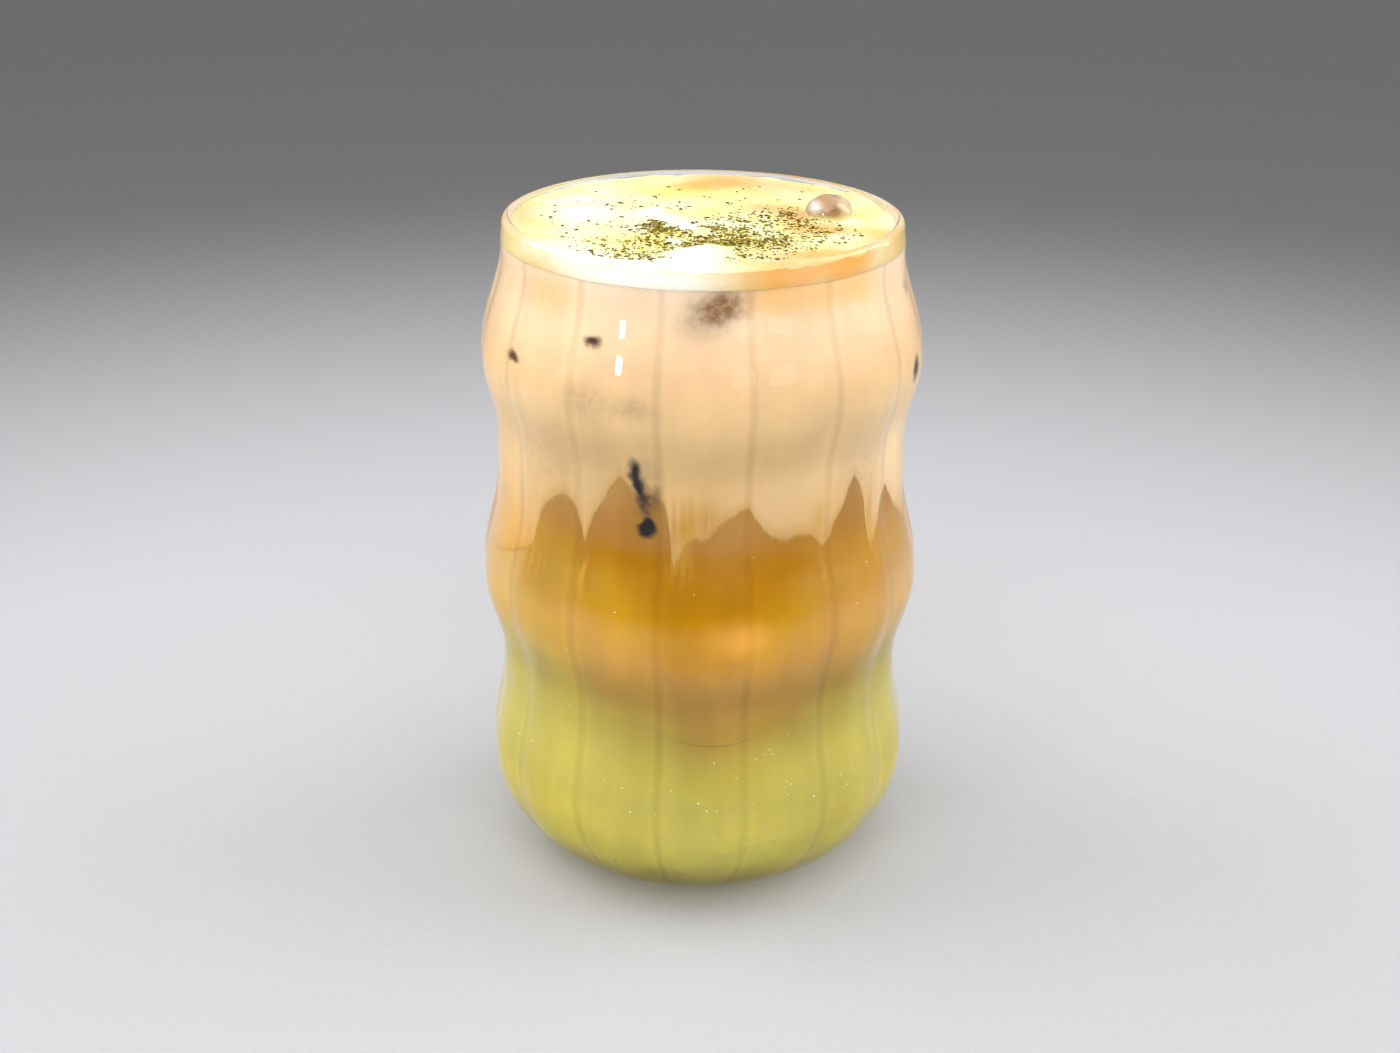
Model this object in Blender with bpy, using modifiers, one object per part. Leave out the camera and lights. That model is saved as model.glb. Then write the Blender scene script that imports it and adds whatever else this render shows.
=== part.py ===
"""Iced matcha latte in a rippled glass.

The glass is a tumbler with three soft swells, two waists and fifteen shallow flutes.
It holds three layers of drink, a cap of milk foam with clumps of matcha powder,
and an ice cube whose rounded corner stands out of the foam.

Units are metres, +Z is up, and the front of the drink looks towards -Y.
The origin is the middle of the glass's foot, on the surface it stands on.
"""
import math

import bmesh
import bpy
from mathutils import Euler, Matrix, Vector

COLLECTION_NAME = "iced_matcha_latte"

# The glass
GLASS_HEIGHT = 0.128
RIM_RADIUS = 0.0374
FOOT_RADIUS = 0.0224
WALL = 0.0022
FLOOR_THICKNESS = 0.0060
INNER_FOOT_RADIUS = 0.0195
BELLY_ROUNDNESS = 1.95

# Height and outer radius of each swell, waist edge and the rim band, from the foot up
LOWER_SWELL = (0.0218, 0.0414)
LOWER_WAIST_BOTTOM = (0.0382, 0.0392)
LOWER_WAIST_TOP = (0.0426, 0.0392)
MIDDLE_SWELL = (0.0590, 0.0426)
UPPER_WAIST_BOTTOM = (0.0781, 0.0395)
UPPER_WAIST_TOP = (0.0882, 0.0395)
UPPER_SWELL = (0.1027, 0.0421)
RIM_BAND_BOTTOM = (0.1231, 0.0379)
RIM_BAND_TOP = (GLASS_HEIGHT - WALL / 2, RIM_RADIUS)
WALL_LEVELS = (LOWER_SWELL, LOWER_WAIST_BOTTOM, LOWER_WAIST_TOP, MIDDLE_SWELL, UPPER_WAIST_BOTTOM,
               UPPER_WAIST_TOP, UPPER_SWELL, RIM_BAND_BOTTOM, RIM_BAND_TOP)

# The flutes: creases run up the outside, one of them this far round from the front
FLUTE_COUNT = 15
FLUTE_DEPTH = 0.0007
CREASE_ANGLE = math.radians(13)
FLUTE_FADE_FOOT = (0.003, 0.012)
FLUTE_FADE_RIM = (0.1190, 0.1265)

# How finely round shapes are divided
COLUMNS = 4 * FLUTE_COUNT
ROW_SPACING = 0.0055
BELLY_ROWS = 5
RIM_ROWS = 4
LAYER_RINGS = 3
JAGGED_ROWS = 8
FOAM_TOP_RINGS = 9
FOAM_BOTTOM_RINGS = 2

# The layers of drink
GAP = 0.0003
JAGGED_GAP = 0.0007
LAYER_GAP = 0.0004
MATCHA_BASE_LEVEL = 0.030
MATCHA_UPPER_ROWS = 4
COFFEE_BOTTOM = 0.048
COFFEE_DIP = 0.012
COFFEE_DIP_ANGLE = math.radians(5)
COFFEE_DIP_WIDTH = math.radians(32)
COFFEE_RISE = 0.004
COFFEE_RISE_ANGLE = math.radians(-55)
COFFEE_RISE_WIDTH = math.radians(20)
MILK_MEAN_BOTTOM = 0.0765
TONGUE_REACH = 3.0

# Where the milk meets the coffee on the wall: degrees round from the front, height
TONGUES = (
    (-150, 0.0840), (-138, 0.0730), (-124, 0.0870), (-112, 0.0740), (-98, 0.0850), (-87, 0.0720),
    (-78, 0.0690), (-72.5, 0.0655), (-62.9, 0.0673), (-54.9, 0.0692), (-51.5, 0.0712), (-50.3, 0.0757),
    (-48.6, 0.0788), (-46.0, 0.0808), (-42.4, 0.0827), (-40.3, 0.0832), (-37.6, 0.0826), (-35.6, 0.0810),
    (-34.2, 0.0786), (-32.8, 0.0751), (-31.4, 0.0780), (-29.3, 0.0814), (-26.6, 0.0842), (-24.4, 0.0868),
    (-21.9, 0.0890), (-19.3, 0.0873), (-17.3, 0.0862), (-12.6, 0.0859), (-9.6, 0.0850), (-8.3, 0.0810),
    (-7.1, 0.0722), (-5.6, 0.0742), (-4.2, 0.0768), (-2.8, 0.0780), (-1.2, 0.0784), (0.7, 0.0778),
    (2.3, 0.0782), (3.7, 0.0795), (5.2, 0.0808), (8.4, 0.0821), (10.5, 0.0832), (13.0, 0.0838),
    (15.4, 0.0812), (17.6, 0.0791), (19.7, 0.0779), (23.8, 0.0768), (27.5, 0.0775), (31.9, 0.0768),
    (35.2, 0.0743), (38.0, 0.0757), (39.5, 0.0785), (42.1, 0.0805), (45.1, 0.0850), (46.4, 0.0865),
    (48.2, 0.0848), (50.5, 0.0812), (52.8, 0.0716), (55.4, 0.0722), (57.6, 0.0745), (60.8, 0.0800),
    (63.0, 0.0815), (65.7, 0.0792), (70.4, 0.0752), (76, 0.0715), (86, 0.0850), (97, 0.0740),
    (112, 0.0850), (126, 0.0725), (140, 0.0865), (155, 0.0740), (172, 0.0845), (194, 0.0730),
)

# The foam
FOAM_BOTTOM = 0.1234
FOAM_LEVEL = 0.1262
FOAM_CROWN = 0.0004
FOAM_CALM_EDGE = 0.80

# Lumps that ice lifts in the foam: x, y, spread and height
FOAM_MOUNDS = (
    (-0.0220, 0.0030, 0.0070, 0.0014),
    (0.0010, -0.0240, 0.0052, 0.0016),
    (-0.0085, 0.0050, 0.0036, 0.0012),
    (-0.0040, -0.0020, 0.0034, 0.0012),
    (0.0010, -0.0090, 0.0032, 0.0010),
    (-0.0070, -0.0120, 0.0042, 0.0009),
    (0.0295, -0.0120, 0.0034, 0.0008),
    (0.0080, 0.0260, 0.0060, 0.0007),
    (0.0232, 0.0060, 0.0072, 0.0002),
    (0.0140, -0.0040, 0.0060, -0.0007),
    (-0.0150, -0.0220, 0.0060, -0.0005),
)

# The melted ice, end up
ICE_SIZE = (0.0094, 0.0094, 0.016)
ICE_ROUNDING = 0.0042
ICE_ROUND_STEPS = 3
ICE_TURN = Euler((math.radians(12), math.radians(9), math.radians(18)))
ICE_TIP = (0.0232, 0.0060, 0.1306)

# Clumps of matcha powder that show from a step away: x, y, size, degrees turned
CLUMPS = (
    (-0.0300, 0.0024, 0.00036, 10), (-0.0282, -0.0006, 0.00034, -20), (-0.0277, 0.0040, 0.00042, 5),
    (-0.0159, 0.0133, 0.00050, -10), (-0.0211, 0.0230, 0.00034, 0), (-0.0095, 0.0185, 0.00040, 25),
    (-0.0070, 0.0279, 0.00038, -15), (-0.0047, 0.0254, 0.00034, 40), (0.0002, 0.0197, 0.00038, -30),
    (-0.0027, 0.0107, 0.00036, 0), (-0.0152, 0.0007, 0.00046, 15), (-0.0231, -0.0078, 0.00042, 30),
    (-0.0254, -0.0123, 0.00034, -35), (-0.0199, -0.0212, 0.00038, 10), (-0.0181, -0.0239, 0.00042, -5),
    (-0.0131, 0.0159, 0.00038, -40), (-0.0183, 0.0116, 0.00034, 20), (-0.0179, -0.0141, 0.00040, -10),
    (-0.0118, 0.0095, 0.00036, -25), (-0.0121, -0.0044, 0.00046, 35), (-0.0088, -0.0050, 0.00050, 60),
    (-0.0073, -0.0115, 0.00055, -20), (-0.0060, -0.0172, 0.00050, 15), (-0.0099, -0.0173, 0.00045, -10),
    (-0.0135, -0.0154, 0.00045, 20), (-0.0155, -0.0197, 0.00040, -15), (0.0004, -0.0134, 0.00050, -20),
    (0.0030, -0.0118, 0.00045, -10), (0.0053, -0.0167, 0.00055, 5), (0.0083, -0.0152, 0.00050, -15),
    (0.0114, -0.0129, 0.00045, 10), (0.0143, -0.0077, 0.00042, -20), (0.0162, 0.0048, 0.00040, -30),
    (0.0203, -0.0038, 0.00042, 0), (0.0250, -0.0058, 0.00040, -10), (0.0132, -0.0192, 0.00040, -25),
)
CLUMP_STRETCH = (1.4, 0.9, 0.7)
CLUMP_SINK = 0.25


def smooth_step(low, high, value):
    """Rise softly from 0 at low to 1 at high."""
    share = min(max((value - low) / (high - low), 0.0), 1.0)
    return share * share * (3 - 2 * share)


def front_angle(x, y):
    """The angle round the axis, 0 at the front and growing towards +X."""
    return math.atan2(x, -y)


def angle_apart(first, second):
    """The signed angle from the second to the first, between minus and plus half a turn."""
    return (first - second + math.pi) % math.tau - math.pi


def swell_radius(height):
    """The outer radius above the lower swell: half waves between its named levels."""
    for (low, low_radius), (high, high_radius) in zip(WALL_LEVELS, WALL_LEVELS[1:]):
        if height <= high:
            share = (height - low) / (high - low)
            return low_radius + (high_radius - low_radius) * (0.5 - 0.5 * math.cos(math.pi * share))
    return RIM_RADIUS


def belly_radius(height, bottom, foot, top_radius):
    """The radius of the rounded bottom, from its foot up to the lower swell."""
    share = min(max((height - bottom) / (LOWER_SWELL[0] - bottom), 0.0), 1.0)
    power = BELLY_ROUNDNESS
    return foot + (top_radius - foot) * (1 - (1 - share) ** power) ** (1 / power)


def outer_radius(height):
    """The outer radius of the glass, before its flutes."""
    if height < LOWER_SWELL[0]:
        return belly_radius(height, 0.0, FOOT_RADIUS, LOWER_SWELL[1])
    return swell_radius(height)


def inner_radius(height):
    """The radius of the inside wall."""
    if height < LOWER_SWELL[0]:
        return belly_radius(height, FLOOR_THICKNESS, INNER_FOOT_RADIUS, LOWER_SWELL[1] - WALL)
    return swell_radius(height) - WALL


def belly_heights(bottom):
    """Heights up the rounded bottom, closer together where it curves most."""
    rise = LOWER_SWELL[0] - bottom
    steps = [index / BELLY_ROWS for index in range(BELLY_ROWS)]
    return [bottom + rise * (1 - math.cos(step * math.pi / 2)) for step in steps]


def wall_heights():
    """Heights from the lower swell to just under the rim, with a row on every named level."""
    heights = [LOWER_SWELL[0]]
    for (low, _), (high, _) in zip(WALL_LEVELS, WALL_LEVELS[1:]):
        count = max(1, round((high - low) / ROW_SPACING))
        heights += [low + (high - low) * row / count for row in range(1, count + 1)]
    return heights


def crease_depth(angle, height):
    """How far a flute's surface lies inside the round outline, deepest on the crease."""
    across = (angle - CREASE_ANGLE) * FLUTE_COUNT / 2
    strength = smooth_step(*FLUTE_FADE_FOOT, height) * (1 - smooth_step(*FLUTE_FADE_RIM, height))
    return FLUTE_DEPTH * strength * (1 - abs(math.sin(across)))


def make_material(name, color, roughness, transmission=0.0):
    """A plain finish with the part's own colour."""
    material = bpy.data.materials.new(name)
    material.use_nodes = True
    shader = material.node_tree.nodes["Principled BSDF"]
    shader.inputs["Base Color"].default_value = (*color, 1.0)
    shader.inputs["Roughness"].default_value = roughness
    shader.inputs["Metallic"].default_value = 0.0
    shader.inputs["Transmission Weight"].default_value = transmission
    return material


def add_object(name, mesh, collection, material=None):
    """Put a mesh in the scene under its name."""
    piece = bpy.data.objects.new(name, mesh)
    collection.objects.link(piece)
    if material is not None:
        mesh.materials.clear()
        mesh.materials.append(material)
    return piece


def turn_profile(name, points, collection):
    """Turn a profile, given as radius and height, round the Z axis with a Screw modifier.

    The columns are placed so that every fourth one lies on a crease of the glass.
    """
    mesh = bpy.data.meshes.new(name + "_profile")
    edges = [(index, index + 1) for index in range(len(points) - 1)]
    mesh.from_pydata([(radius, 0.0, height) for radius, height in points], edges, [])
    profile = add_object(name + "_profile", mesh, collection)
    screw = profile.modifiers.new("turn", "SCREW")
    screw.steps = COLUMNS
    screw.render_steps = COLUMNS
    screw.use_merge_vertices = True
    screw.merge_threshold = 0.00001
    screw.use_smooth_shade = True
    graph = bpy.context.evaluated_depsgraph_get()
    turned = bpy.data.meshes.new_from_object(profile.evaluated_get(graph))
    turned.name = name
    bpy.data.objects.remove(profile)
    first_column = (CREASE_ANGLE - math.pi / 2) % (math.tau / FLUTE_COUNT)
    turned.transform(Matrix.Rotation(first_column, 4, "Z"))
    return turned


def finish_round(piece, sharp_angle=50):
    """Shade a round piece smooth, apart from its real edges."""
    piece.data.shade_smooth()
    piece.data.set_sharp_from_angle(angle=math.radians(sharp_angle))


def make_glass(collection):
    """The tumbler: one turned wall, with its flutes pressed into the outside."""
    rim_middle = RIM_RADIUS - WALL / 2
    rim_height = GLASS_HEIGHT - WALL / 2
    points = [(0.0, FLOOR_THICKNESS), (INNER_FOOT_RADIUS * 0.6, FLOOR_THICKNESS)]
    points += [(inner_radius(height), height) for height in belly_heights(FLOOR_THICKNESS)]
    points += [(inner_radius(height), height) for height in wall_heights()]
    for row in range(1, RIM_ROWS):
        turn = math.pi * row / RIM_ROWS
        lip_radius = rim_middle - math.cos(turn) * WALL / 2
        points.append((lip_radius, rim_height + math.sin(turn) * WALL / 2))
    points += [(outer_radius(height), height) for height in reversed(wall_heights())]
    points += [(outer_radius(height), height) for height in reversed(belly_heights(0.0))]
    points += [(0.0, 0.0)]
    mesh = turn_profile("glass", points, collection)
    for vertex in mesh.vertices:
        x, y, height = vertex.co
        radius = math.hypot(x, y)
        if height < rim_height + WALL / 4 and radius > inner_radius(height) + WALL / 2:
            share = 1 - crease_depth(front_angle(x, y), height) / radius
            vertex.co.x *= share
            vertex.co.y *= share
    material = make_material("clear_glass", (0.95, 0.97, 0.96), 0.05, 0.9)
    glass = add_object("glass", mesh, collection, material)
    finish_round(glass)
    return glass


def coffee_floor(x, y):
    """Where the coffee lies on the matcha milk: lowest at the front, high on the left."""
    angle = front_angle(x, y)
    dip = angle_apart(angle, COFFEE_DIP_ANGLE) / COFFEE_DIP_WIDTH
    rise = angle_apart(angle, COFFEE_RISE_ANGLE) / COFFEE_RISE_WIDTH
    reach = min(math.hypot(x, y) / RIM_RADIUS, 1.0)
    return COFFEE_BOTTOM + reach * (COFFEE_RISE * math.exp(-rise ** 2) - COFFEE_DIP * math.exp(-dip ** 2))


def tongue_height(angle):
    """The height of the jagged line between coffee and milk, on the wall at an angle."""
    turn = math.degrees(angle)
    first = TONGUES[0][0]
    turn = (turn - first) % 360 + first
    ring = TONGUES + ((first + 360, TONGUES[0][1]),)
    for (left, left_height), (right, right_height) in zip(ring, ring[1:]):
        if turn <= right:
            share = smooth_step(left, right, turn)
            return left_height + (right_height - left_height) * share
    return TONGUES[0][1]


def milk_floor(x, y):
    """Where the milk lies on the coffee: jagged tongues on the wall, level in the middle."""
    reach = min(math.hypot(x, y) / (RIM_RADIUS - WALL - JAGGED_GAP), 1.0) ** TONGUE_REACH
    return MILK_MEAN_BOTTOM + reach * (tongue_height(front_angle(x, y)) - MILK_MEAN_BOTTOM)


def foam_top(x, y):
    """The foam's surface: nearly level, with soft lumps where ice lifts it."""
    radius = math.hypot(x, y)
    height = FOAM_LEVEL + FOAM_CROWN * (1 - (radius / RIM_RADIUS) ** 2)
    edge = 1 - smooth_step(FOAM_CALM_EDGE, 1.0, radius / (RIM_RADIUS - WALL))
    for mound_x, mound_y, spread, rise in FOAM_MOUNDS:
        distance = math.hypot(x - mound_x, y - mound_y) / spread
        height += edge * rise * math.exp(-distance ** 2)
    return height


def split_quads(mesh):
    """Split each quad of a turned drum from its outer or upper corner on one hand.

    Two layers that meet are then split alike, and stay the same distance apart.
    """
    shape = bmesh.new()
    shape.from_mesh(mesh)
    for face in list(shape.faces):
        corners = list(face.verts)
        if len(corners) < 4:
            continue
        middle = face.calc_center_median()
        middle_angle = front_angle(middle.x, middle.y)

        def rank(vertex):
            turn = angle_apart(front_angle(vertex.co.x, vertex.co.y), middle_angle)
            return turn < 0, vertex.co.xy.length + vertex.co.z

        first = max(corners, key=rank)
        opposite = corners[(corners.index(first) + 2) % 4]
        bmesh.utils.face_split(face, first, opposite)
    shape.to_mesh(mesh)
    shape.free()


def make_layer(name, floor, top, rings, rows, gap, material, collection):
    """A round layer that fills the glass between two surfaces, a gap clear of the wall.

    Rings gives how many rings of faces its floor and its top have. It starts as a turned
    drum of radius 1 and height 1. Each point's height in the drum then says how far it lies
    between the two surfaces, and its radius how far out it lies.
    """
    floor_rings, top_rings = rings
    points = [(ring / top_rings, 1.0) for ring in range(top_rings)]
    points += [(1.0, 1 - row / rows) for row in range(rows + 1)]
    points += [(ring / floor_rings, 0.0) for ring in reversed(range(floor_rings))]
    mesh = turn_profile(name, points, collection)
    split_quads(mesh)
    for vertex in mesh.vertices:
        share = math.hypot(vertex.co.x, vertex.co.y)
        angle = front_angle(vertex.co.x, vertex.co.y)
        rise = vertex.co.z
        radius = share * (RIM_RADIUS - WALL - gap)
        x = radius * math.sin(angle)
        y = -radius * math.cos(angle)
        height = floor(x, y) * (1 - rise) + top(x, y) * rise
        radius = share * (inner_radius(height) - gap)
        vertex.co = (radius * math.sin(angle), -radius * math.cos(angle), height)
    layer = add_object(name, mesh, collection, material)
    finish_round(layer)
    return layer


def make_matcha_milk(collection):
    """The pale green layer that fills the rounded bottom.

    Its rows follow the wall up to the base level. Those above are stretched to its wavy top.
    """
    material = make_material("matcha_milk", (0.56, 0.55, 0.16), 0.35)
    wall_rows = [height for height in wall_heights() if height < MATCHA_BASE_LEVEL]
    base = wall_rows[-1]
    stretch = COFFEE_BOTTOM - base
    upper_rows = [base + stretch * row / MATCHA_UPPER_ROWS for row in range(1, MATCHA_UPPER_ROWS)]
    belly_rows = belly_heights(FLOOR_THICKNESS)
    points = [(RIM_RADIUS * ring / LAYER_RINGS, COFFEE_BOTTOM) for ring in range(LAYER_RINGS + 1)]
    points += [(RIM_RADIUS, height) for height in reversed(upper_rows)]
    points += [(inner_radius(height) - GAP, height) for height in reversed(wall_rows)]
    points += [(inner_radius(height) - GAP, height + GAP) for height in reversed(belly_rows)]
    points += [(0.0, FLOOR_THICKNESS + GAP)]
    mesh = turn_profile("matcha_milk", points, collection)
    split_quads(mesh)
    for vertex in mesh.vertices:
        share = (vertex.co.z - base) / stretch
        if vertex.co.z > base + GAP:
            x, y = vertex.co.xy
            height = base + share * (coffee_floor(x, y) - LAYER_GAP - base)
            widen = (inner_radius(height) - JAGGED_GAP) / RIM_RADIUS
            vertex.co = (x * widen, y * widen, height)
    layer = add_object("matcha_milk", mesh, collection, material)
    finish_round(layer)
    return layer


def make_coffee(collection):
    """The amber layer, whose upper edge stands in tongues against the wall."""
    material = make_material("coffee", (0.48, 0.24, 0.03), 0.3)
    return make_layer("coffee_layer", coffee_floor, lambda x, y: milk_floor(x, y) - LAYER_GAP,
                      (LAYER_RINGS, LAYER_RINGS), JAGGED_ROWS, JAGGED_GAP, material, collection)


def make_milk(collection):
    """The cream coloured layer under the foam."""
    material = make_material("milk_coffee", (0.89, 0.70, 0.42), 0.35)
    return make_layer("milk_layer", milk_floor, lambda x, y: FOAM_BOTTOM - LAYER_GAP,
                      (LAYER_RINGS, FOAM_BOTTOM_RINGS), JAGGED_ROWS, JAGGED_GAP, material, collection)


def make_foam(collection):
    """The cap of foam on top."""
    material = make_material("milk_foam", (0.95, 0.90, 0.66), 0.6)
    return make_layer("foam", lambda x, y: FOAM_BOTTOM, foam_top,
                      (FOAM_BOTTOM_RINGS, FOAM_TOP_RINGS), 1, GAP, material, collection)


def ice_middle():
    """Where the ice's middle lies, so that its rounded top reaches the tip."""
    half_x, half_y, half_z = (side / 2 - ICE_ROUNDING for side in ICE_SIZE)
    corners = [Vector((x, y, z)) for x in (-half_x, half_x) for y in (-half_y, half_y)
               for z in (-half_z, half_z)]
    for corner in corners:
        corner.rotate(ICE_TURN)
    top_corner = max(corners, key=lambda corner: corner.z)
    return Vector(ICE_TIP) - Vector((0, 0, ICE_ROUNDING)) - top_corner


def make_ice(name, grow, collection):
    """A melted ice cube with its rounded end up. Grow makes it larger all round, as a cutter."""
    bpy.ops.mesh.primitive_cube_add(size=1)
    ice = bpy.context.object
    ice.data.transform(Matrix.Diagonal((*(side + 2 * grow for side in ICE_SIZE), 1.0)))
    ice.name = name
    ice.data.name = name
    for owner in list(ice.users_collection):
        owner.objects.unlink(ice)
    collection.objects.link(ice)
    ice.rotation_euler = ICE_TURN
    ice.location = ice_middle()
    bevel = ice.modifiers.new("melted_edges", "BEVEL")
    bevel.width = ICE_ROUNDING + grow
    bevel.segments = ICE_ROUND_STEPS
    ice.data.materials.append(make_material("melting_ice", (0.80, 0.72, 0.60), 0.08, 0.8))
    ice.data.shade_smooth()
    return ice


def apply_modifiers(piece):
    """Keep what the modifiers make as the piece's own mesh."""
    graph = bpy.context.evaluated_depsgraph_get()
    shaped = bpy.data.meshes.new_from_object(piece.evaluated_get(graph))
    piece.modifiers.clear()
    piece.data = shaped


def cut(piece, cutter):
    """Cut a piece clear of another with a Boolean difference."""
    boolean = piece.modifiers.new("cut", "BOOLEAN")
    boolean.operation = "DIFFERENCE"
    boolean.object = cutter
    apply_modifiers(piece)


def fuse_clumps(foam, collection):
    """Join the larger clumps of matcha powder to the foam they lie on."""
    clumps = bpy.data.collections.new("matcha_clumps")
    collection.children.link(clumps)
    for index, (x, y, size, turn) in enumerate(CLUMPS):
        mesh = bpy.data.meshes.new(f"clump_{index}")
        shape = bmesh.new()
        bmesh.ops.create_icosphere(shape, subdivisions=1, radius=size)
        shape.to_mesh(mesh)
        shape.free()
        shaped = Matrix.Rotation(math.radians(turn), 4, "Z") @ Matrix.Diagonal((*CLUMP_STRETCH, 1.0))
        sunk = foam_top(x, y) - size * CLUMP_SINK
        mesh.transform(Matrix.Translation((x, y, sunk)) @ shaped)
        add_object(f"clump_{index}", mesh, clumps)
    union = foam.modifiers.new("clumps", "BOOLEAN")
    union.operation = "UNION"
    union.operand_type = "COLLECTION"
    union.collection = clumps
    apply_modifiers(foam)
    for clump in list(clumps.objects):
        bpy.data.objects.remove(clump)
    bpy.data.collections.remove(clumps)


def main():
    """Build the drink in its glass."""
    for piece in list(bpy.data.objects):
        bpy.data.objects.remove(piece)
    collection = bpy.data.collections.new(COLLECTION_NAME)
    cutters = bpy.data.collections.new(COLLECTION_NAME + "_cutters")
    bpy.context.scene.collection.children.link(collection)
    bpy.context.scene.collection.children.link(cutters)
    make_glass(collection)
    make_matcha_milk(collection)
    make_coffee(collection)
    milk = make_milk(collection)
    foam = make_foam(collection)
    make_ice("ice_cube", 0.0, collection)
    pocket = make_ice("ice_pocket", GAP, cutters)
    pocket.hide_render = True
    pocket.display_type = "WIRE"
    cut(milk, pocket)
    cut(foam, pocket)
    fuse_clumps(foam, collection)
    for piece in (milk, foam):
        finish_round(piece)


main()
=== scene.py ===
import math
import random

import bpy
from mathutils import Euler, Matrix, Vector, noise


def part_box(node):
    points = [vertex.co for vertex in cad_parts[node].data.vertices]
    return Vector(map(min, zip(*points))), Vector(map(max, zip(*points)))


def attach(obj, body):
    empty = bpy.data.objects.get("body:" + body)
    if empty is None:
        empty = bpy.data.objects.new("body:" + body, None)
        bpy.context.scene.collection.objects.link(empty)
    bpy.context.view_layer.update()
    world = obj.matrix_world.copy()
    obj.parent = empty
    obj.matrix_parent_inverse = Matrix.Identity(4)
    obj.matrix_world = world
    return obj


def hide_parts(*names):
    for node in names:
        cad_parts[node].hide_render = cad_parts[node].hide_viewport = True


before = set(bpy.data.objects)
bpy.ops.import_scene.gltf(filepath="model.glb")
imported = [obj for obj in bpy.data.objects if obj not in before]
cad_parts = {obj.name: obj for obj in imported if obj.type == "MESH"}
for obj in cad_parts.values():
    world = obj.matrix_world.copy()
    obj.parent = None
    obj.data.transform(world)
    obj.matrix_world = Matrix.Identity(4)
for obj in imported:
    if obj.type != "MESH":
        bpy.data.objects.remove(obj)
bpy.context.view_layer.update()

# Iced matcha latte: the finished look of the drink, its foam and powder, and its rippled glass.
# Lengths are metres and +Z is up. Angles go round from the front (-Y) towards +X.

bl_info = {
    "name": "Iced Matcha Latte",
    "version": (1, 0, 0),
    "blender": (4, 5, 0),
    "location": "3D View > Sidebar > Latte",
    "description": "Dresses a layered iced matcha latte in its rippled glass",
    "category": "Mesh",
}

BODY = "root"
MERGE_DISTANCE = 0.000001

# The glass
GLASS_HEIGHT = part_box("glass")[1].z
RIM_RADIUS = 0.0374
FOOT_RADIUS = 0.0224
WALL = 0.0022
FLOOR_THICKNESS = 0.006
INNER_FOOT_RADIUS = 0.0195
BELLY_ROUNDNESS = 1.95
INNER_BELLY_ROWS = 12
FLOOR_RING = 0.6
FOOT_RING = 0.5
PLAIN_LIP = WALL * 0.75

# Height and outer radius, from the foot up: the lower swell, the ends of the lower waist, the middle
# swell, the ends of the upper waist, the upper swell and the ends of the rim band
WALL_LEVELS = (
    (0.0218, 0.0414), (0.0382, 0.0392), (0.0426, 0.0392), (0.059, 0.0426), (0.0781, 0.0395),
    (0.0882, 0.0395), (0.1027, 0.0421), (0.1231, 0.0379), (GLASS_HEIGHT - WALL / 2, RIM_RADIUS),
)
LOWER_SWELL_HEIGHT = WALL_LEVELS[0][0]

# The flutes
FLUTE_COUNT = 15
CREASE_ANGLE = math.radians(13)
CREASE_SOFTNESS = 0.13
FLUTE_FADE_FOOT = (0.003, 0.012)
FLUTE_FADE_RIM = (0.119, 0.1265)
COLUMN_GATHERING = 1.6

# The layers of drink
COFFEE_BOTTOM = 0.048
MILK_MEAN_BOTTOM = 0.0765
TONGUE_REACH = 3.0
TONGUE_POINTEDNESS = 0.5

# Where the coffee's floor rises and dips on the wall: rise, degrees round from the front, degrees wide
COFFEE_WAVES = ((0.004, -55, 20), (-0.012, 5, 32))

# Small unevenness of the tongues: noise scale and amount
TONGUE_WOBBLES = ((14.0, 0.0002), (40.0, 0.0003), (110.0, 0.0002))

# Where the milk meets the coffee on the wall: degrees round from the front, height
TONGUES = (
    (-150, 0.084), (-138, 0.073), (-124, 0.087), (-112, 0.074), (-98, 0.085), (-87, 0.072), (-78, 0.069),
    (-72.5, 0.0655), (-62.9, 0.0673), (-54.9, 0.0692), (-51.5, 0.0712), (-50.3, 0.0757), (-48.6, 0.0788),
    (-46.0, 0.0808), (-42.4, 0.0827), (-40.3, 0.0832), (-37.6, 0.0826), (-35.6, 0.081), (-34.2, 0.0786),
    (-32.8, 0.0751), (-31.4, 0.078), (-29.3, 0.0814), (-26.6, 0.0842), (-24.4, 0.0868), (-21.9, 0.089),
    (-19.3, 0.0873), (-17.3, 0.0862), (-12.6, 0.0859), (-9.6, 0.085), (-8.3, 0.081), (-7.1, 0.0722),
    (-5.6, 0.0742), (-4.2, 0.0768), (-2.8, 0.078), (-1.2, 0.0784), (0.7, 0.0778), (2.3, 0.0782),
    (3.7, 0.0795), (5.2, 0.0808), (8.4, 0.0821), (10.5, 0.0832), (13.0, 0.0838), (15.4, 0.0812),
    (17.6, 0.0791), (19.7, 0.0779), (23.8, 0.0768), (27.5, 0.0775), (31.9, 0.0768), (35.2, 0.0743),
    (38.0, 0.0757), (39.5, 0.0785), (42.1, 0.0805), (45.1, 0.085), (46.4, 0.0865), (48.2, 0.0848),
    (50.5, 0.0812), (52.8, 0.0716), (55.4, 0.0722), (57.6, 0.0745), (60.8, 0.08), (63.0, 0.0815),
    (65.7, 0.0792), (70.4, 0.0752), (76, 0.0715), (86, 0.085), (97, 0.074), (112, 0.085), (126, 0.0725),
    (140, 0.0865), (155, 0.074), (172, 0.0845), (194, 0.073),
)

# How far each layer reaches into the wall, and how far it runs on behind the layer above
PROUD = {"matcha_milk": 0.0002, "coffee_layer": 0.00025, "milk_layer": 0.0003, "foam": 0.00035}
LAYER_OVERLAP = 0.0006

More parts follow.
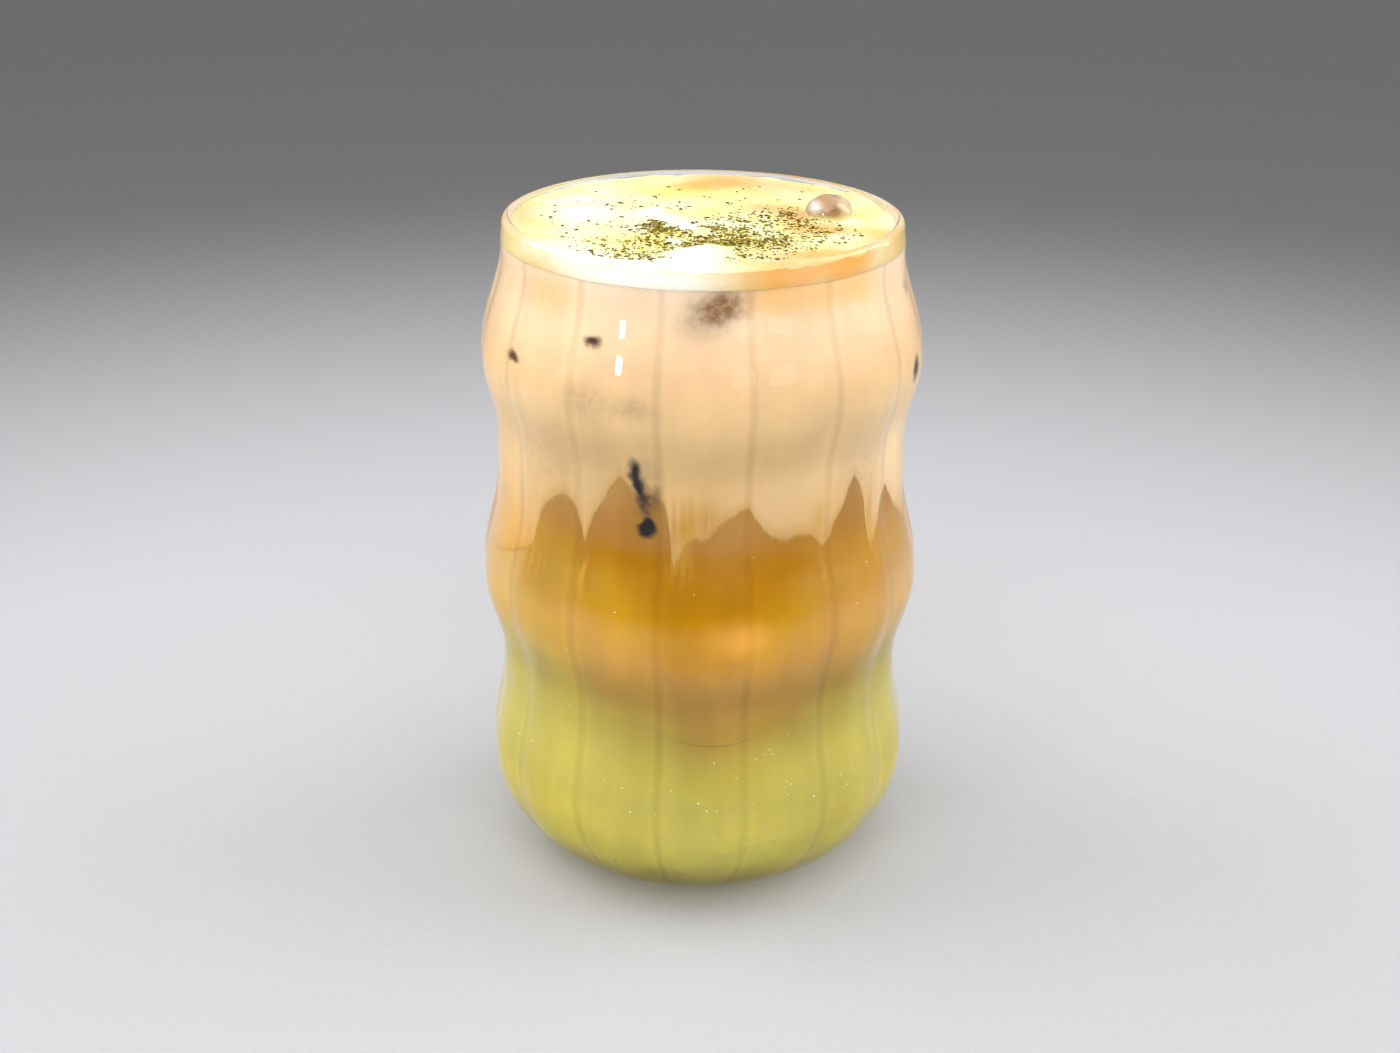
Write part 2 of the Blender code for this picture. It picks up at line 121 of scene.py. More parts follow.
# Faces of each layer: columns round, rings on top, rows up the side and rings below
COFFEE_FACES = (600, 4, 70, 4)
MILK_FACES = (600, 3, 76, 4)
FOAM_FACES = (360, 96, 8, 2)
MATCHA_COLUMNS = 240
MATCHA_RINGS = 4
MATCHA_BELLY_ROWS = 26
MATCHA_SPACING = 0.0008

# The foam's bottom, level and crown, and the share of the radius where its lumps start to calm down
FOAM_BOTTOM = 0.1234
FOAM_LEVEL = 0.1262
FOAM_CROWN = 0.0004
FOAM_CALM_EDGE = 0.8

# How the foam clings to the wall: how high, from what share of the radius on, what share of that at the
# front, and where it grows, from front to back in rim radii
FOAM_CLING = 0.0009
FOAM_CLING_EDGE = 0.94
FOAM_CLING_FRONT = 0.35
FOAM_CLING_TURN = (-0.2, 0.6)

# The foam's relief: noise scale, shift and share
FOAM_RELIEF = ((160, (0, 0, 0), 0.55), (420, (3, 7, 0), 0.33), (1100, (9, 2, 0), 0.12))

# Lumps that ice lifts in the foam: x, y, spread and height
FOAM_MOUNDS = (
    (-0.022, 0.003, 0.007, 0.0014), (0.001, -0.024, 0.0052, 0.0016), (-0.0085, 0.005, 0.0036, 0.0012),
    (-0.004, -0.002, 0.0034, 0.0012), (0.001, -0.009, 0.0032, 0.001), (-0.007, -0.012, 0.0042, 0.0009),
    (0.0295, -0.012, 0.0034, 0.0008), (0.008, 0.026, 0.006, 0.0007), (0.0232, 0.006, 0.0072, 0.0002),
    (0.014, -0.004, 0.006, -0.0007), (-0.015, -0.022, 0.006, -0.0005),
)

# The melted ice, end up
ICE_SIZE = (0.0094, 0.0094, 0.016)
ICE_ROUNDING = 0.0042
ICE_TURN = Euler((math.radians(12), math.radians(9), math.radians(18)))
ICE_TIP = (0.0232, 0.006, 0.1306)
ICE_SMOOTHING = 80
DIMPLE_SCALE = 330
DIMPLE_DEPTH = 0.0005

# The larger clumps of matcha powder: x, y, size, degrees turned
CLUMPS = (
    (-0.03, 0.0024, 0.00036, 10), (-0.0282, -0.0006, 0.00034, -20), (-0.0277, 0.004, 0.00042, 5),
    (-0.0159, 0.0133, 0.0005, -10), (-0.0211, 0.023, 0.00034, 0), (-0.0095, 0.0185, 0.0004, 25),
    (-0.007, 0.0279, 0.00038, -15), (-0.0047, 0.0254, 0.00034, 40), (0.0002, 0.0197, 0.00038, -30),
    (-0.0027, 0.0107, 0.00036, 0), (-0.0152, 0.0007, 0.00046, 15), (-0.0231, -0.0078, 0.00042, 30),
    (-0.0254, -0.0123, 0.00034, -35), (-0.0199, -0.0212, 0.00038, 10), (-0.0181, -0.0239, 0.00042, -5),
    (-0.0131, 0.0159, 0.00038, -40), (-0.0183, 0.0116, 0.00034, 20), (-0.0179, -0.0141, 0.0004, -10),
    (-0.0118, 0.0095, 0.00036, -25), (-0.0121, -0.0044, 0.00046, 35), (-0.0088, -0.005, 0.0005, 60),
    (-0.0073, -0.0115, 0.00055, -20), (-0.006, -0.0172, 0.0005, 15), (-0.0099, -0.0173, 0.00045, -10),
    (-0.0135, -0.0154, 0.00045, 20), (-0.0155, -0.0197, 0.0004, -15), (0.0004, -0.0134, 0.0005, -20),
    (0.003, -0.0118, 0.00045, -10), (0.0053, -0.0167, 0.00055, 5), (0.0083, -0.0152, 0.0005, -15),
    (0.0114, -0.0129, 0.00045, 10), (0.0143, -0.0077, 0.00042, -20), (0.0162, 0.0048, 0.0004, -30),
    (0.0203, -0.0038, 0.00042, 0), (0.025, -0.0058, 0.0004, -10), (0.0132, -0.0192, 0.0004, -25),
)
CLUMP_STRETCH = (1.4, 0.9, 0.7)
CLUMP_SINK = 0.25

# The noise that crumbles the clumps: its seed, its scale and how far it moves their points
CRUMB_SEED = 3
CRUMB_SCALE = 2200
CRUMB_DEPTH = 0.00014

# Where the fine powder fell: x, y, spread along x, spread along y, share of the specks
SPECK_FIELDS = (
    (-0.0088, -0.0039, 0.0014, 0.0018, 8.0), (-0.0078, -0.0082, 0.0014, 0.0024, 7.0),
    (-0.0065, -0.014, 0.0034, 0.003, 9.0), (-0.005, -0.018, 0.004, 0.0022, 6.0),
    (-0.0126, -0.0062, 0.0018, 0.0012, 1.6), (-0.013, -0.02, 0.0052, 0.0038, 8.0),
    (-0.0112, -0.0262, 0.0046, 0.0018, 2.4), (0.0005, -0.008, 0.0024, 0.0022, 4.0),
    (0.0045, -0.0135, 0.0042, 0.0026, 9.0), (0.0085, -0.0172, 0.0044, 0.0022, 9.0),
    (0.0135, -0.0168, 0.0036, 0.0024, 6.0), (0.007, -0.01, 0.0056, 0.0034, 8.0),
    (0.0085, -0.025, 0.0048, 0.002, 4.0), (0.0047, -0.001, 0.0042, 0.0032, 4.0),
    (0.0109, 0.0012, 0.0044, 0.0028, 6.0), (0.0153, 0.006, 0.0034, 0.0024, 4.0),
    (0.0185, 0.0, 0.0034, 0.0026, 4.0), (0.0165, -0.008, 0.0044, 0.004, 3.4),
    (0.0224, -0.0067, 0.0026, 0.0022, 1.8), (0.0228, -0.0125, 0.0034, 0.0026, 1.2),
    (-0.025, 0.002, 0.005, 0.0044, 0.6), (-0.0156, 0.011, 0.006, 0.0052, 1.0),
    (-0.0056, 0.019, 0.0074, 0.0052, 0.8), (-0.002, 0.0104, 0.006, 0.004, 1.0),
    (-0.0198, -0.01, 0.005, 0.006, 1.2), (0.012, 0.018, 0.008, 0.0052, 0.8),
)
SPECK_SEED = 5
SPECK_REACH = 0.9
ICE_CLEARANCE = 0.0052

# Each speck: its size and how often it is larger, its turn as a mean and a spread in radians, its length
# and girth in sizes, its tilt in radians and how far it stands out of the foam in sizes
SPECK_SIZE = (0.00007, 0.00016)
SPECK_GROWTHS = (1, 1.2, 1.5, 2.0)
SPECK_TURN = (-0.15, 0.55)
SPECK_LENGTH = (1.0, 2.2)
SPECK_GIRTH = (0.9, 0.8)
SPECK_TILT = (-0.2, 0.2)
SPECK_LIFT = 0.2

# Bare ridges and lumps that the powder slid off: from x, y to x, y, half width
BARE_RIDGES = (
    ((-0.0112, 0.0055), (-0.0055, -0.002), 0.0019), ((-0.0055, -0.002), (0.0001, -0.011), 0.0013),
    ((-0.0056, -0.016), (-0.0052, -0.0166), 0.0011), ((-0.0028, -0.0248), (0.0018, -0.0246), 0.0037),
    ((-0.0226, 0.001), (-0.0216, 0.0044), 0.0034),
)

# Noise: its usual span, and how upright strands are stretched
NOISE_SPAN = (0.3, 0.7)
STRAND = (1, 1, 0.05)

# How deep soft patches reach: into the wall at least, into the foam, and into its dust
PATCH_DEPTH = 0.004
FOAM_PATCH_DEPTH = 0.008
DUST_DEPTH = 0.006


def screen(red, green, blue):
    """A colour as a screen shows it, from 0 to 255, turned into the linear light Blender works in."""
    shares = (channel / 255 for channel in (red, green, blue))
    return tuple(share / 12.92 if share < 0.04045 else ((share + 0.055) / 1.055) ** 2.4
                 for share in shares)


def smooth_step(low, high, value):
    """Rise softly from 0 at low to 1 at high."""
    share = min(max((value - low) / (high - low), 0.0), 1.0)
    return share * share * (3 - 2 * share)


def front_angle(x, y):
    """The angle round the axis, 0 at the front and growing towards +X."""
    return math.atan2(x, -y)


def angle_apart(first, second):
    """The signed angle from the second to the first, between minus and plus half a turn."""
    return (first - second + math.pi) % math.tau - math.pi


def swell_radius(height):
    """The outer radius above the lower swell: half waves between the wall's levels."""
    for (low, low_radius), (high, high_radius) in zip(WALL_LEVELS, WALL_LEVELS[1:]):
        if height <= high:
            share = (height - low) / (high - low)
            return low_radius + (high_radius - low_radius) * (0.5 - 0.5 * math.cos(math.pi * share))
    return RIM_RADIUS


def side_radius(height, bottom, foot, inset):
    """The radius of one side of the wall: a rounded bottom from its foot up, then the swells."""
    base, base_radius = WALL_LEVELS[0]
    if height >= base:
        return swell_radius(height) - inset
    share = min(max((height - bottom) / (base - bottom), 0.0), 1.0)
    bulge = (1 - (1 - share) ** BELLY_ROUNDNESS) ** (1 / BELLY_ROUNDNESS)
    return foot + (base_radius - inset - foot) * bulge


def outer_radius(height):
    """The outer radius of the glass, before its flutes."""
    return side_radius(height, 0.0, FOOT_RADIUS, 0.0)


def inner_radius(height):
    """The radius of the inside wall."""
    return side_radius(height, FLOOR_THICKNESS, INNER_FOOT_RADIUS, WALL)


def heights_between(low, high, spacing):
    """Even heights from low up to and including high, about a spacing apart."""
    count = max(1, round((high - low) / spacing))
    return [low + (high - low) * row / count for row in range(count + 1)]


def belly_heights(bottom, rows):
    """Heights up the rounded bottom, closer together where it curves most."""
    rise = LOWER_SWELL_HEIGHT - bottom
    return [bottom + rise * (1 - math.cos(row / rows * math.pi / 2)) for row in range(rows)]


def coffee_floor(x, y):
    """Where the coffee lies on the matcha milk: lowest at the front, high on the left."""
    angle = front_angle(x, y)
    wave = sum(rise * math.exp(-(angle_apart(angle, math.radians(turn)) / math.radians(width)) ** 2)
               for rise, turn, width in COFFEE_WAVES)
    return COFFEE_BOTTOM + min(math.hypot(x, y) / RIM_RADIUS, 1.0) * wave


def tongue_height(angle):
    """The height of the jagged line between coffee and milk, on the wall at an angle."""
    first, first_height = TONGUES[0]
    turn = (math.degrees(angle) - first) % 360 + first
    round_place = Vector((math.sin(angle), math.cos(angle), 0))
    wobble = sum(amount * noise.noise(round_place * scale) for scale, amount in TONGUE_WOBBLES)
    ring = (*TONGUES, (first + 360, first_height))
    for (left, left_height), (right, right_height) in zip(ring, ring[1:]):
        if turn <= right:
            straight = (turn - left) / (right - left)
            share = smooth_step(left, right, turn)
            share += (straight - share) * TONGUE_POINTEDNESS
            return left_height + (right_height - left_height) * share + wobble
    return first_height


def milk_floor(x, y):
    """Where the milk lies on the coffee: jagged tongues on the wall, level in the middle."""
    reach = min(math.hypot(x, y) / (RIM_RADIUS - WALL), 1.0) ** TONGUE_REACH
    return MILK_MEAN_BOTTOM + reach * (tongue_height(front_angle(x, y)) - MILK_MEAN_BOTTOM)


def foam_lumps(x, y):
    """The foam's surface without its fine relief: nearly level, with lumps where ice lifts it."""
    radius = math.hypot(x, y)
    height = FOAM_LEVEL + FOAM_CROWN * (1 - (radius / RIM_RADIUS) ** 2)
    edge = 1 - smooth_step(FOAM_CALM_EDGE, 1.0, radius / (RIM_RADIUS - WALL))
    for mound_x, mound_y, spread, rise in FOAM_MOUNDS:
        distance = math.hypot(x - mound_x, y - mound_y) / spread
        height += edge * rise * math.exp(-distance ** 2)
    return height


def foam_surface(x, y):
    """The foam's surface with the soft unevenness of poured milk."""
    place = Vector((x, y, 0))
    relief = sum(share * noise.noise(place * scale + Vector(shift)) for scale, shift, share in FOAM_RELIEF)
    back = FOAM_CLING_FRONT + (1 - FOAM_CLING_FRONT) * smooth_step(*FOAM_CLING_TURN, y / RIM_RADIUS)
    edge = smooth_step(FOAM_CLING_EDGE, 1.0, math.hypot(x, y) / (RIM_RADIUS - WALL))
    return foam_lumps(x, y) + FOAM_CLING * back * edge + bpy.context.scene.latte_foam.relief * relief


def round_point(angle, radius, height):
    """The point at an angle round from the front, a radius and a height."""
    return radius * math.sin(angle), -radius * math.cos(angle), height


def wall_point(turn, height, out=0.0):
    """The point on the inside wall at degrees round from the front and a height."""
    return round_point(math.radians(turn), inner_radius(height) + out, height)


def fill(tree, made, sockets):
    """Fill or join a node's sockets."""
    for name, value in sockets.items():
        if isinstance(value, bpy.types.NodeSocket):
            tree.links.new(value, made.inputs[name])
        else:
            made.inputs[name].default_value = value


def node(tree, kind, sockets=None, **settings):
    """Add a shader node, give it its settings, and fill or join its sockets."""
    made = tree.nodes.new("ShaderNode" + kind)
    for name, value in settings.items():
        setattr(made, name, value)
    fill(tree, made, sockets or {})
    return made


def new_finish(name):
    """A new material, its node tree, its shader and its place on the piece."""
    material = bpy.data.materials.new(name)
    material.use_nodes = True
    tree = material.node_tree
    shader = tree.nodes["Principled BSDF"]
    place = node(tree, "TexCoord").outputs["Object"]
    return material, tree, shader, place


def blended(tree, factor, first, second):
    """Two colours mixed by a factor. Each is a socket, or three numbers."""
    first, second = (colour if isinstance(colour, bpy.types.NodeSocket) else (*colour, 1)
                     for colour in (first, second))
    return node(tree, "Mix", {0: factor, 6: first, 7: second}, data_type="RGBA").outputs[2]


def ranged(tree, value, low, high, to_low=0.0, to_high=1.0):
    """A value stretched from one range to another, and held inside it."""
    sockets = {"Value": value, "From Min": low, "From Max": high, "To Min": to_low, "To Max": to_high}
    return node(tree, "MapRange", sockets, interpolation_type="SMOOTHSTEP").outputs[0]


def joined(tree, operation, first, *others):
    """Values added or multiplied one after another."""
    for other in others:
        first = node(tree, "Math", {0: first, 1: other}, operation=operation).outputs[0]
    return first


def times(tree, *values):
    """Values multiplied."""
    return joined(tree, "MULTIPLY", *values)


def plus(tree, *values):
    """Values added."""
    return joined(tree, "ADD", *values)


def noisy(tree, place, scale, detail=3.0, stretch=(1, 1, 1)):
    """Soft noise. Stretch below 1 draws it out along that axis."""
    spread = node(tree, "Mapping", {"Vector": place, "Scale": stretch}).outputs[0]
    return node(tree, "TexNoise", {"Vector": spread, "Scale": scale, "Detail": detail}).outputs["Fac"]


def noise_from(tree, noise_value, low, high):
    """Noise brought from its usual span to a range."""
    return ranged(tree, noise_value, *NOISE_SPAN, low, high)


def wavering(tree, place, scale, amount):
    """A place pushed about by noise, so that what is drawn there has an uneven outline."""
    drift = node(tree, "TexNoise", {"Vector": place, "Scale": scale, "Detail": 2.0}).outputs["Color"]
    centred = node(tree, "VectorMath", {0: drift, 1: (0.5, 0.5, 0.5)}, operation="SUBTRACT").outputs[0]
    pushed = {0: centred, 1: (amount, amount, amount), 2: place}
    return node(tree, "VectorMath", pushed, operation="MULTIPLY_ADD").outputs[0]


def patch(tree, place, centre, size, turn=(0, 0, 0), edge=1.0):
    """How far a place lies inside a soft round patch, which fades over the edge's share of it."""
    sockets = {"Vector": place, "Location": centre, "Rotation": turn, "Scale": size}
    local = node(tree, "Mapping", sockets, vector_type="TEXTURE").outputs[0]
    ball = node(tree, "TexGradient", {"Vector": local}, gradient_type="SPHERICAL").outputs["Fac"]
    return ranged(tree, ball, 0.0, edge)


def wall_patch(tree, place, turn, height, half_width, half_height, tilt=0.0, edge=1.0):
    """A soft patch on the wall, at degrees round from the front and a height."""
    size = (half_width, max(half_width, PATCH_DEPTH), half_height)
    rotation = (0, math.radians(tilt), math.radians(turn))
    return patch(tree, place, wall_point(turn, height), size, rotation, edge)


def foam_patch(tree, place, x, y, half_x, half_y, depth=FOAM_PATCH_DEPTH):
    """A soft patch on the foam's top."""
    return patch(tree, place, (x, y, FOAM_LEVEL), (half_x, half_y, depth))


def dust_patch(*where):
    """A thinner patch on the foam's top, for dust."""
    return foam_patch(*where, DUST_DEPTH)


def tinted(tree, place, colour, kind, areas, tone, *masks):
    """A colour with another tone in soft areas of a kind, whose last number is its amount."""
    for *where, amount in areas:
        mask = times(tree, kind(tree, place, *where), amount, *masks)
        colour = blended(tree, mask, colour, tone)
    return colour


def colour_by(tree, value, stops):
    """A colour ramp whose stops are given as value and colour."""
    low, high = stops[0][0], stops[-1][0]
    sockets = {"Value": value, "From Min": low, "From Max": high}
    share = node(tree, "MapRange", sockets).outputs[0]
    ramp = node(tree, "ValToRGB", {"Fac": share})
    elements = ramp.color_ramp.elements
    elements[0].color = (*stops[0][1], 1)
    elements[1].color = (*stops[-1][1], 1)
    for stop, colour in stops[1:-1]:
        elements.new((stop - low) / (high - low)).color = (*colour, 1)
    return ramp.outputs["Color"]


def brightened(tree, colour, value):
    """A colour made lighter or darker by a value round 1."""
    return node(tree, "HueSaturation", {"Color": colour, "Value": value}).outputs["Color"]


def bumped(tree, shader, height, distance, strength=1.0):
    """Let a pattern's height stand out of the surface."""
    bump = node(tree, "Bump", {"Height": height, "Distance": distance, "Strength": strength})
    tree.links.new(bump.outputs["Normal"], shader.inputs["Normal"])


def glass_finish():
    """Clear pressed glass, faintly uneven, that lets the light through to the drink."""
    settings = bpy.context.scene.latte_tumbler
    material, tree, shader, place = new_finish("rippled_glass")
    fill(tree, shader, {
        "Base Color": (*settings.tint, 1),
        "Transmission Weight": 1.0,
        "IOR": settings.refraction,
        "Roughness": ranged(tree, noisy(tree, place, scale=90, detail=4.0), 0.45, 0.7, 0.0, 0.05),
    })
    ripples = noisy(tree, place, scale=75, detail=1.0, stretch=(1, 1, 0.5))
    bumped(tree, shader, ripples, distance=0.0004, strength=0.5)
    through = node(tree, "BsdfTransparent")
    shadow = node(tree, "LightPath").outputs["Is Shadow Ray"]
    mix = node(tree, "MixShader", {0: shadow, 1: shader.outputs[0], 2: through.outputs[0]})
    tree.links.new(mix.outputs[0], tree.nodes["Material Output"].inputs["Surface"])
    return material


def crease_light_and_shade(tree, place, colour):
    """A drink's colour with a painted dark line and a painted pale edge of light at each crease of the
    glass.
    """
    off_crease = attribute(tree, "off_crease")
    patchy = noisy(tree, place, scale=55, detail=2.0, stretch=(1, 1, 0.5))
    line = ranged(tree, off_crease, 0.0, 0.26, 1.0, 0.0)
    glow = times(tree, ranged(tree, off_crease, 0.12, 0.28), ranged(tree, off_crease, 0.28, 0.6, 1.0, 0.0))
    dark = times(tree, line, ranged(tree, patchy, 0.35, 0.65, -0.13, -0.05))
    pale = times(tree, glow, ranged(tree, patchy, 0.35, 0.65, 0.015, 0.05))
    return brightened(tree, colour, plus(tree, dark, pale, 1.0))


def drink_surface(tree, shader, place, colour, cloudiness):
    """A milky drink behind fluted glass: colour with painted crease light and shade, soft inner glow, slick
    gloss.
    """
    fill(tree, shader, {
        "Base Color": crease_light_and_shade(tree, place, colour),
        "Specular IOR Level": 0.04,
        "Subsurface Weight": cloudiness,
        "Subsurface Radius": (1.0, 0.7, 0.4),
        "Subsurface Scale": 0.002,
        "Roughness": noise_from(tree, noisy(tree, place, scale=120), 0.3, 0.45),
    })


def height_of(tree, place):
    """The height of a place above the foot."""
    return node(tree, "SeparateXYZ", {0: place}).outputs["Z"]


def attribute(tree, name):
    """A value that the piece's own points hold."""
    return node(tree, "Attribute", attribute_name=name).outputs["Fac"]


def marked(tree, place, colour):
    """A drink's colour with the marks on its side, mottled where they are thin; the ice marks are painted
    shade.
    """
    uneven = wavering(tree, place, scale=330, amount=0.0024)
    mottle = ranged(tree, noisy(tree, place, scale=800), 0.35, 0.62, 0.62, 1.0)
    # Ice marks: painted shade of the drink's inside seen through the ice
    for *where, amount, mark in WALL_MARKS_AND_ICE_SHADE:
        solid = 1.0 if amount == 1.0 else mottle
        colour = tinted(tree, uneven, colour, wall_patch, [(*where, amount)], mark, solid)
    return colour


def milk_finish():
    """Milky coffee: cream under the foam, darker and more golden towards the tongues, with painted shade
    and light on the upper swell.
    """
    drink = bpy.context.scene.latte_drink
    material, tree, shader, place = new_finish("milk_coffee")
    # The stops also paint shade on the upper swell, which faces up, and light under it, where the wall
    # faces down
    colour = colour_by(tree, height_of(tree, place), (
        (0.068, drink.milk_gold),
        (0.08, drink.milk_low),
        (0.091, drink.milk_waist),
        (0.099, drink.milk_middle),
        (0.109, drink.milk_swell),
        (FOAM_BOTTOM, drink.milk_top),
    ))
    over_line = attribute(tree, "over_tongues")
    fringe = times(tree, ranged(tree, over_line, 0.0035, 0.0), 0.5)
    colour = blended(tree, fringe, colour, drink.milk_gold)
    edge = times(tree, ranged(tree, over_line, 0.0008, -0.0002), 0.6)
    colour = blended(tree, edge, colour, drink.amber)
    strands = ranged(tree, noisy(tree, place, scale=620, detail=2.0, stretch=STRAND), 0.38, 0.6, 0.15, 1.0)
    colour = tinted(tree, place, colour, wall_patch, MILK_GOLD_AREAS, drink.milk_gold, strands)
    uneven = wavering(tree, place, scale=260, amount=0.0016)
    # Pale milk, partly painted light low on the sides of the upper swell
    colour = tinted(tree, uneven, colour, wall_patch, MILK_PALE_AND_LIT_AREAS, drink.milk_pale_and_lit)
    colour = tinted(tree, uneven, colour, wall_patch, MILK_ORANGE_AREAS, drink.milk_orange)
    streak = noisy(tree, place, scale=190, detail=3.0, stretch=(1, 1, 0.12))
    colour = brightened(tree, colour, noise_from(tree, streak, 0.965, 1.03))
    colour = brightened(tree, colour, noise_from(tree, noisy(tree, place, scale=85), 0.97, 1.03))
    drink_surface(tree, shader, place, marked(tree, place, colour), 0.35)
    return material


def coffee_colour(tree, place):
    """The colour from green milk through the brown blend to clear amber, streaked, with painted light where
    the wall faces down.
    """
    drink = bpy.context.scene.latte_drink
    drift = noise_from(tree, noisy(tree, place, scale=70, detail=2.0, stretch=(1, 1, 0.6)), -0.0022, 0.0022)
    colour = colour_by(tree, plus(tree, attribute(tree, "over_matcha"), drift), (
        (-0.036, drink.matcha_foot),
        (-0.022, drink.matcha),
        (-0.012, drink.matcha),
        (-0.004, drink.blend_green),
        (0.004, drink.blend_brown),
        (0.013, drink.amber_low),
        (0.022, drink.amber_glow),
        (0.031, drink.amber_deep),
        (0.039, drink.amber),
        (0.053, drink.amber_tips),
    ))
    uneven = wavering(tree, place, scale=120, amount=0.004)
    for *area, tone in AMBER_AREAS:
        colour = tinted(tree, uneven, colour, wall_patch, [area], tone)
    level = height_of(tree, place)
    # Painted light by height: brighter under the middle swell and on the rounded bottom, darker at the very
    # foot
    for tones in COFFEE_PAINTED_LIGHT:
        colour = brightened(tree, colour, ranged(tree, level, *tones))
    streak = noisy(tree, place, scale=150, detail=3.0, stretch=(1, 1, 0.15))
    return brightened(tree, colour, noise_from(tree, streak, 0.94, 1.07))


def coffee_finish():
    """Clear amber coffee that glows and darkens in soft upright streaks."""
    drink = bpy.context.scene.latte_drink
    material, tree, shader, place = new_finish("coffee")
    colour = coffee_colour(tree, place)
    strands = ranged(tree, noisy(tree, place, scale=620, detail=2.0, stretch=STRAND), 0.42, 0.6)
    colour = tinted(tree, place, colour, wall_patch, COFFEE_GOLD_AREAS, drink.milk_gold, strands)
    edge = times(tree, ranged(tree, attribute(tree, "over_tongues"), -0.0007, 0.0001), 0.45)
    colour = blended(tree, edge, colour, drink.milk_gold)
    drink_surface(tree, shader, place, marked(tree, place, colour), 0.2)
    return material


def matcha_finish():
    """Pale green matcha milk, even and softly clouded, with painted light on its rounded bottom, darker at
    the foot.
    """
    material, tree, shader, place = new_finish("matcha_milk")
    cloud = noisy(tree, place, scale=60, detail=4.0)
    colour = brightened(tree, coffee_colour(tree, place), noise_from(tree, cloud, 0.975, 1.025))
    drink_surface(tree, shader, place, colour, 0.35)
    return material


def foam_finish():
    """Milk foam: nearly white, dusted olive where powder fell, stained where coffee came through, with
    painted highlights.
    """
    foam = bpy.context.scene.latte_foam
    material, tree, shader, place = new_finish("milk_foam")
    cloud = noisy(tree, place, scale=110, detail=4.0)
    colour = blended(tree, ranged(tree, cloud, 0.35, 0.65), foam.white, foam.cream)
    uneven = wavering(tree, place, scale=300, amount=0.004)
    # The white lumps are partly painted highlights, and one is a painted glint beside the ice
    for areas, tone in ((FOAM_YELLOWS, foam.yellow), (FOAM_STAINS, foam.stain), (FOAM_WHITES_AND_HIGHLIGHTS, foam.white_and_glint)):
        colour = tinted(tree, uneven, colour, foam_patch, areas, tone)
    colour = brightened(tree, colour, foam.tone)
    for areas, tone in ((FOAM_SIDE_WHITES, foam.white_and_glint), (FOAM_SIDE_STAINS, foam.stain)):
        colour = tinted(tree, uneven, colour, wall_patch, areas, tone)
    dust = ranged(tree, noisy(tree, place, scale=900), 0.42, 0.6)
    fill(tree, shader, {
        "Base Color": tinted(tree, uneven, colour, dust_patch, FOAM_DUST, foam.dust, dust),
        "Specular IOR Level": 0.3,
        "Subsurface Weight": 0.3,
        "Subsurface Radius": (1.0, 0.85, 0.6),
        "Subsurface Scale": 0.0015,
        "Roughness": noise_from(tree, cloud, 0.35, 0.6),
    })
    cells = node(tree, "TexVoronoi", {"Vector": place, "Scale": 1500.0}).outputs["Distance"]
    bumped(tree, shader, cells, distance=0.00008, strength=0.6)
    return material


def powder_finish(name, dark, light):
    """Matcha powder: dull olive grains, some darker with milk soaked in."""
    material, tree, shader, place = new_finish(name)
    grain = noisy(tree, place, scale=1300, detail=2.0)
    fill(tree, shader, {
        "Base Color": blended(tree, ranged(tree, grain, 0.36, 0.64), dark, light),
        "Specular IOR Level": 0.2,
        "Roughness": noise_from(tree, grain, 0.6, 0.9),
    })
    bumped(tree, shader, noisy(tree, place, scale=3000, detail=2.0), distance=0.0001)
    return material


def ice_finish():
    """Melting ice, brown from the drink behind it, with a glossy melting skin and a painted white glint."""
    foam = bpy.context.scene.latte_foam
    material, tree, shader, place = new_finish("melting_ice")
    cloud = noisy(tree, place, scale=170, detail=2.0)
    parts = node(tree, "SeparateXYZ", {0: wavering(tree, place, scale=300, amount=0.002)}).outputs
    clear = times(tree, ranged(tree, parts["X"], 0.0268, 0.0238), ranged(tree, cloud, 0.62, 0.38, 0.6, 1.0))
    colour = blended(tree, clear, foam.ice_light, foam.ice_dark)
    # Painted glint: a white spot low on the ice's left
    painted_glint = patch(tree, place, (0.0205, 0.0028, 0.1286), (0.0026, 0.0046, 0.002))
    colour = blended(tree, times(tree, painted_glint, 0.8), colour, foam.white_and_glint)
    sunk = ranged(tree, parts["Z"], ICE_TIP[2] - 0.0028, ICE_TIP[2] - 0.0042)
    fill(tree, shader, {
        "Base Color": blended(tree, sunk, colour, foam.cream),
        "Transmission Weight": 0.05,
        "IOR": 1.31,
        "Coat Weight": 1.0,
        "Coat Roughness": 0.03,
        "Roughness": noise_from(tree, cloud, 0.04, 0.16),
    })
    bumped(tree, shader, noisy(tree, place, scale=420, detail=2.0), distance=0.0003)
    return material


def bubble_finish(name, colour, pale):
    """The thin bright skin of a small bubble; its pale colours are painted glints."""
    material, tree, shader, place = new_finish(name)
    cloud = noisy(tree, place, scale=300, detail=2.0)
    fill(tree, shader, {
        "Base Color": blended(tree, ranged(tree, cloud, 0.35, 0.65), colour, pale),
        "Coat Weight": 1.0,
        "Coat Roughness": 0.05,
        "Roughness": noise_from(tree, cloud, 0.1, 0.25),
    })
    return material


# Golden strands in the milk: degrees round from the front, height, half width, half height, amount
MILK_GOLD_AREAS = (
    (-68, 0.079, 0.008, 0.013, 0.35), (-56, 0.077, 0.007, 0.011, 0.45), (-33, 0.0785, 0.003, 0.006, 0.8),
    (-5, 0.0805, 0.007, 0.0075, 1.0), (1, 0.082, 0.0048, 0.0052, 0.8), (34, 0.079, 0.003, 0.008, 0.5),
    (54, 0.078, 0.004, 0.01, 0.9), (80, 0.085, 0.008, 0.014, 0.4), (150, 0.086, 0.014, 0.014, 0.8),
)

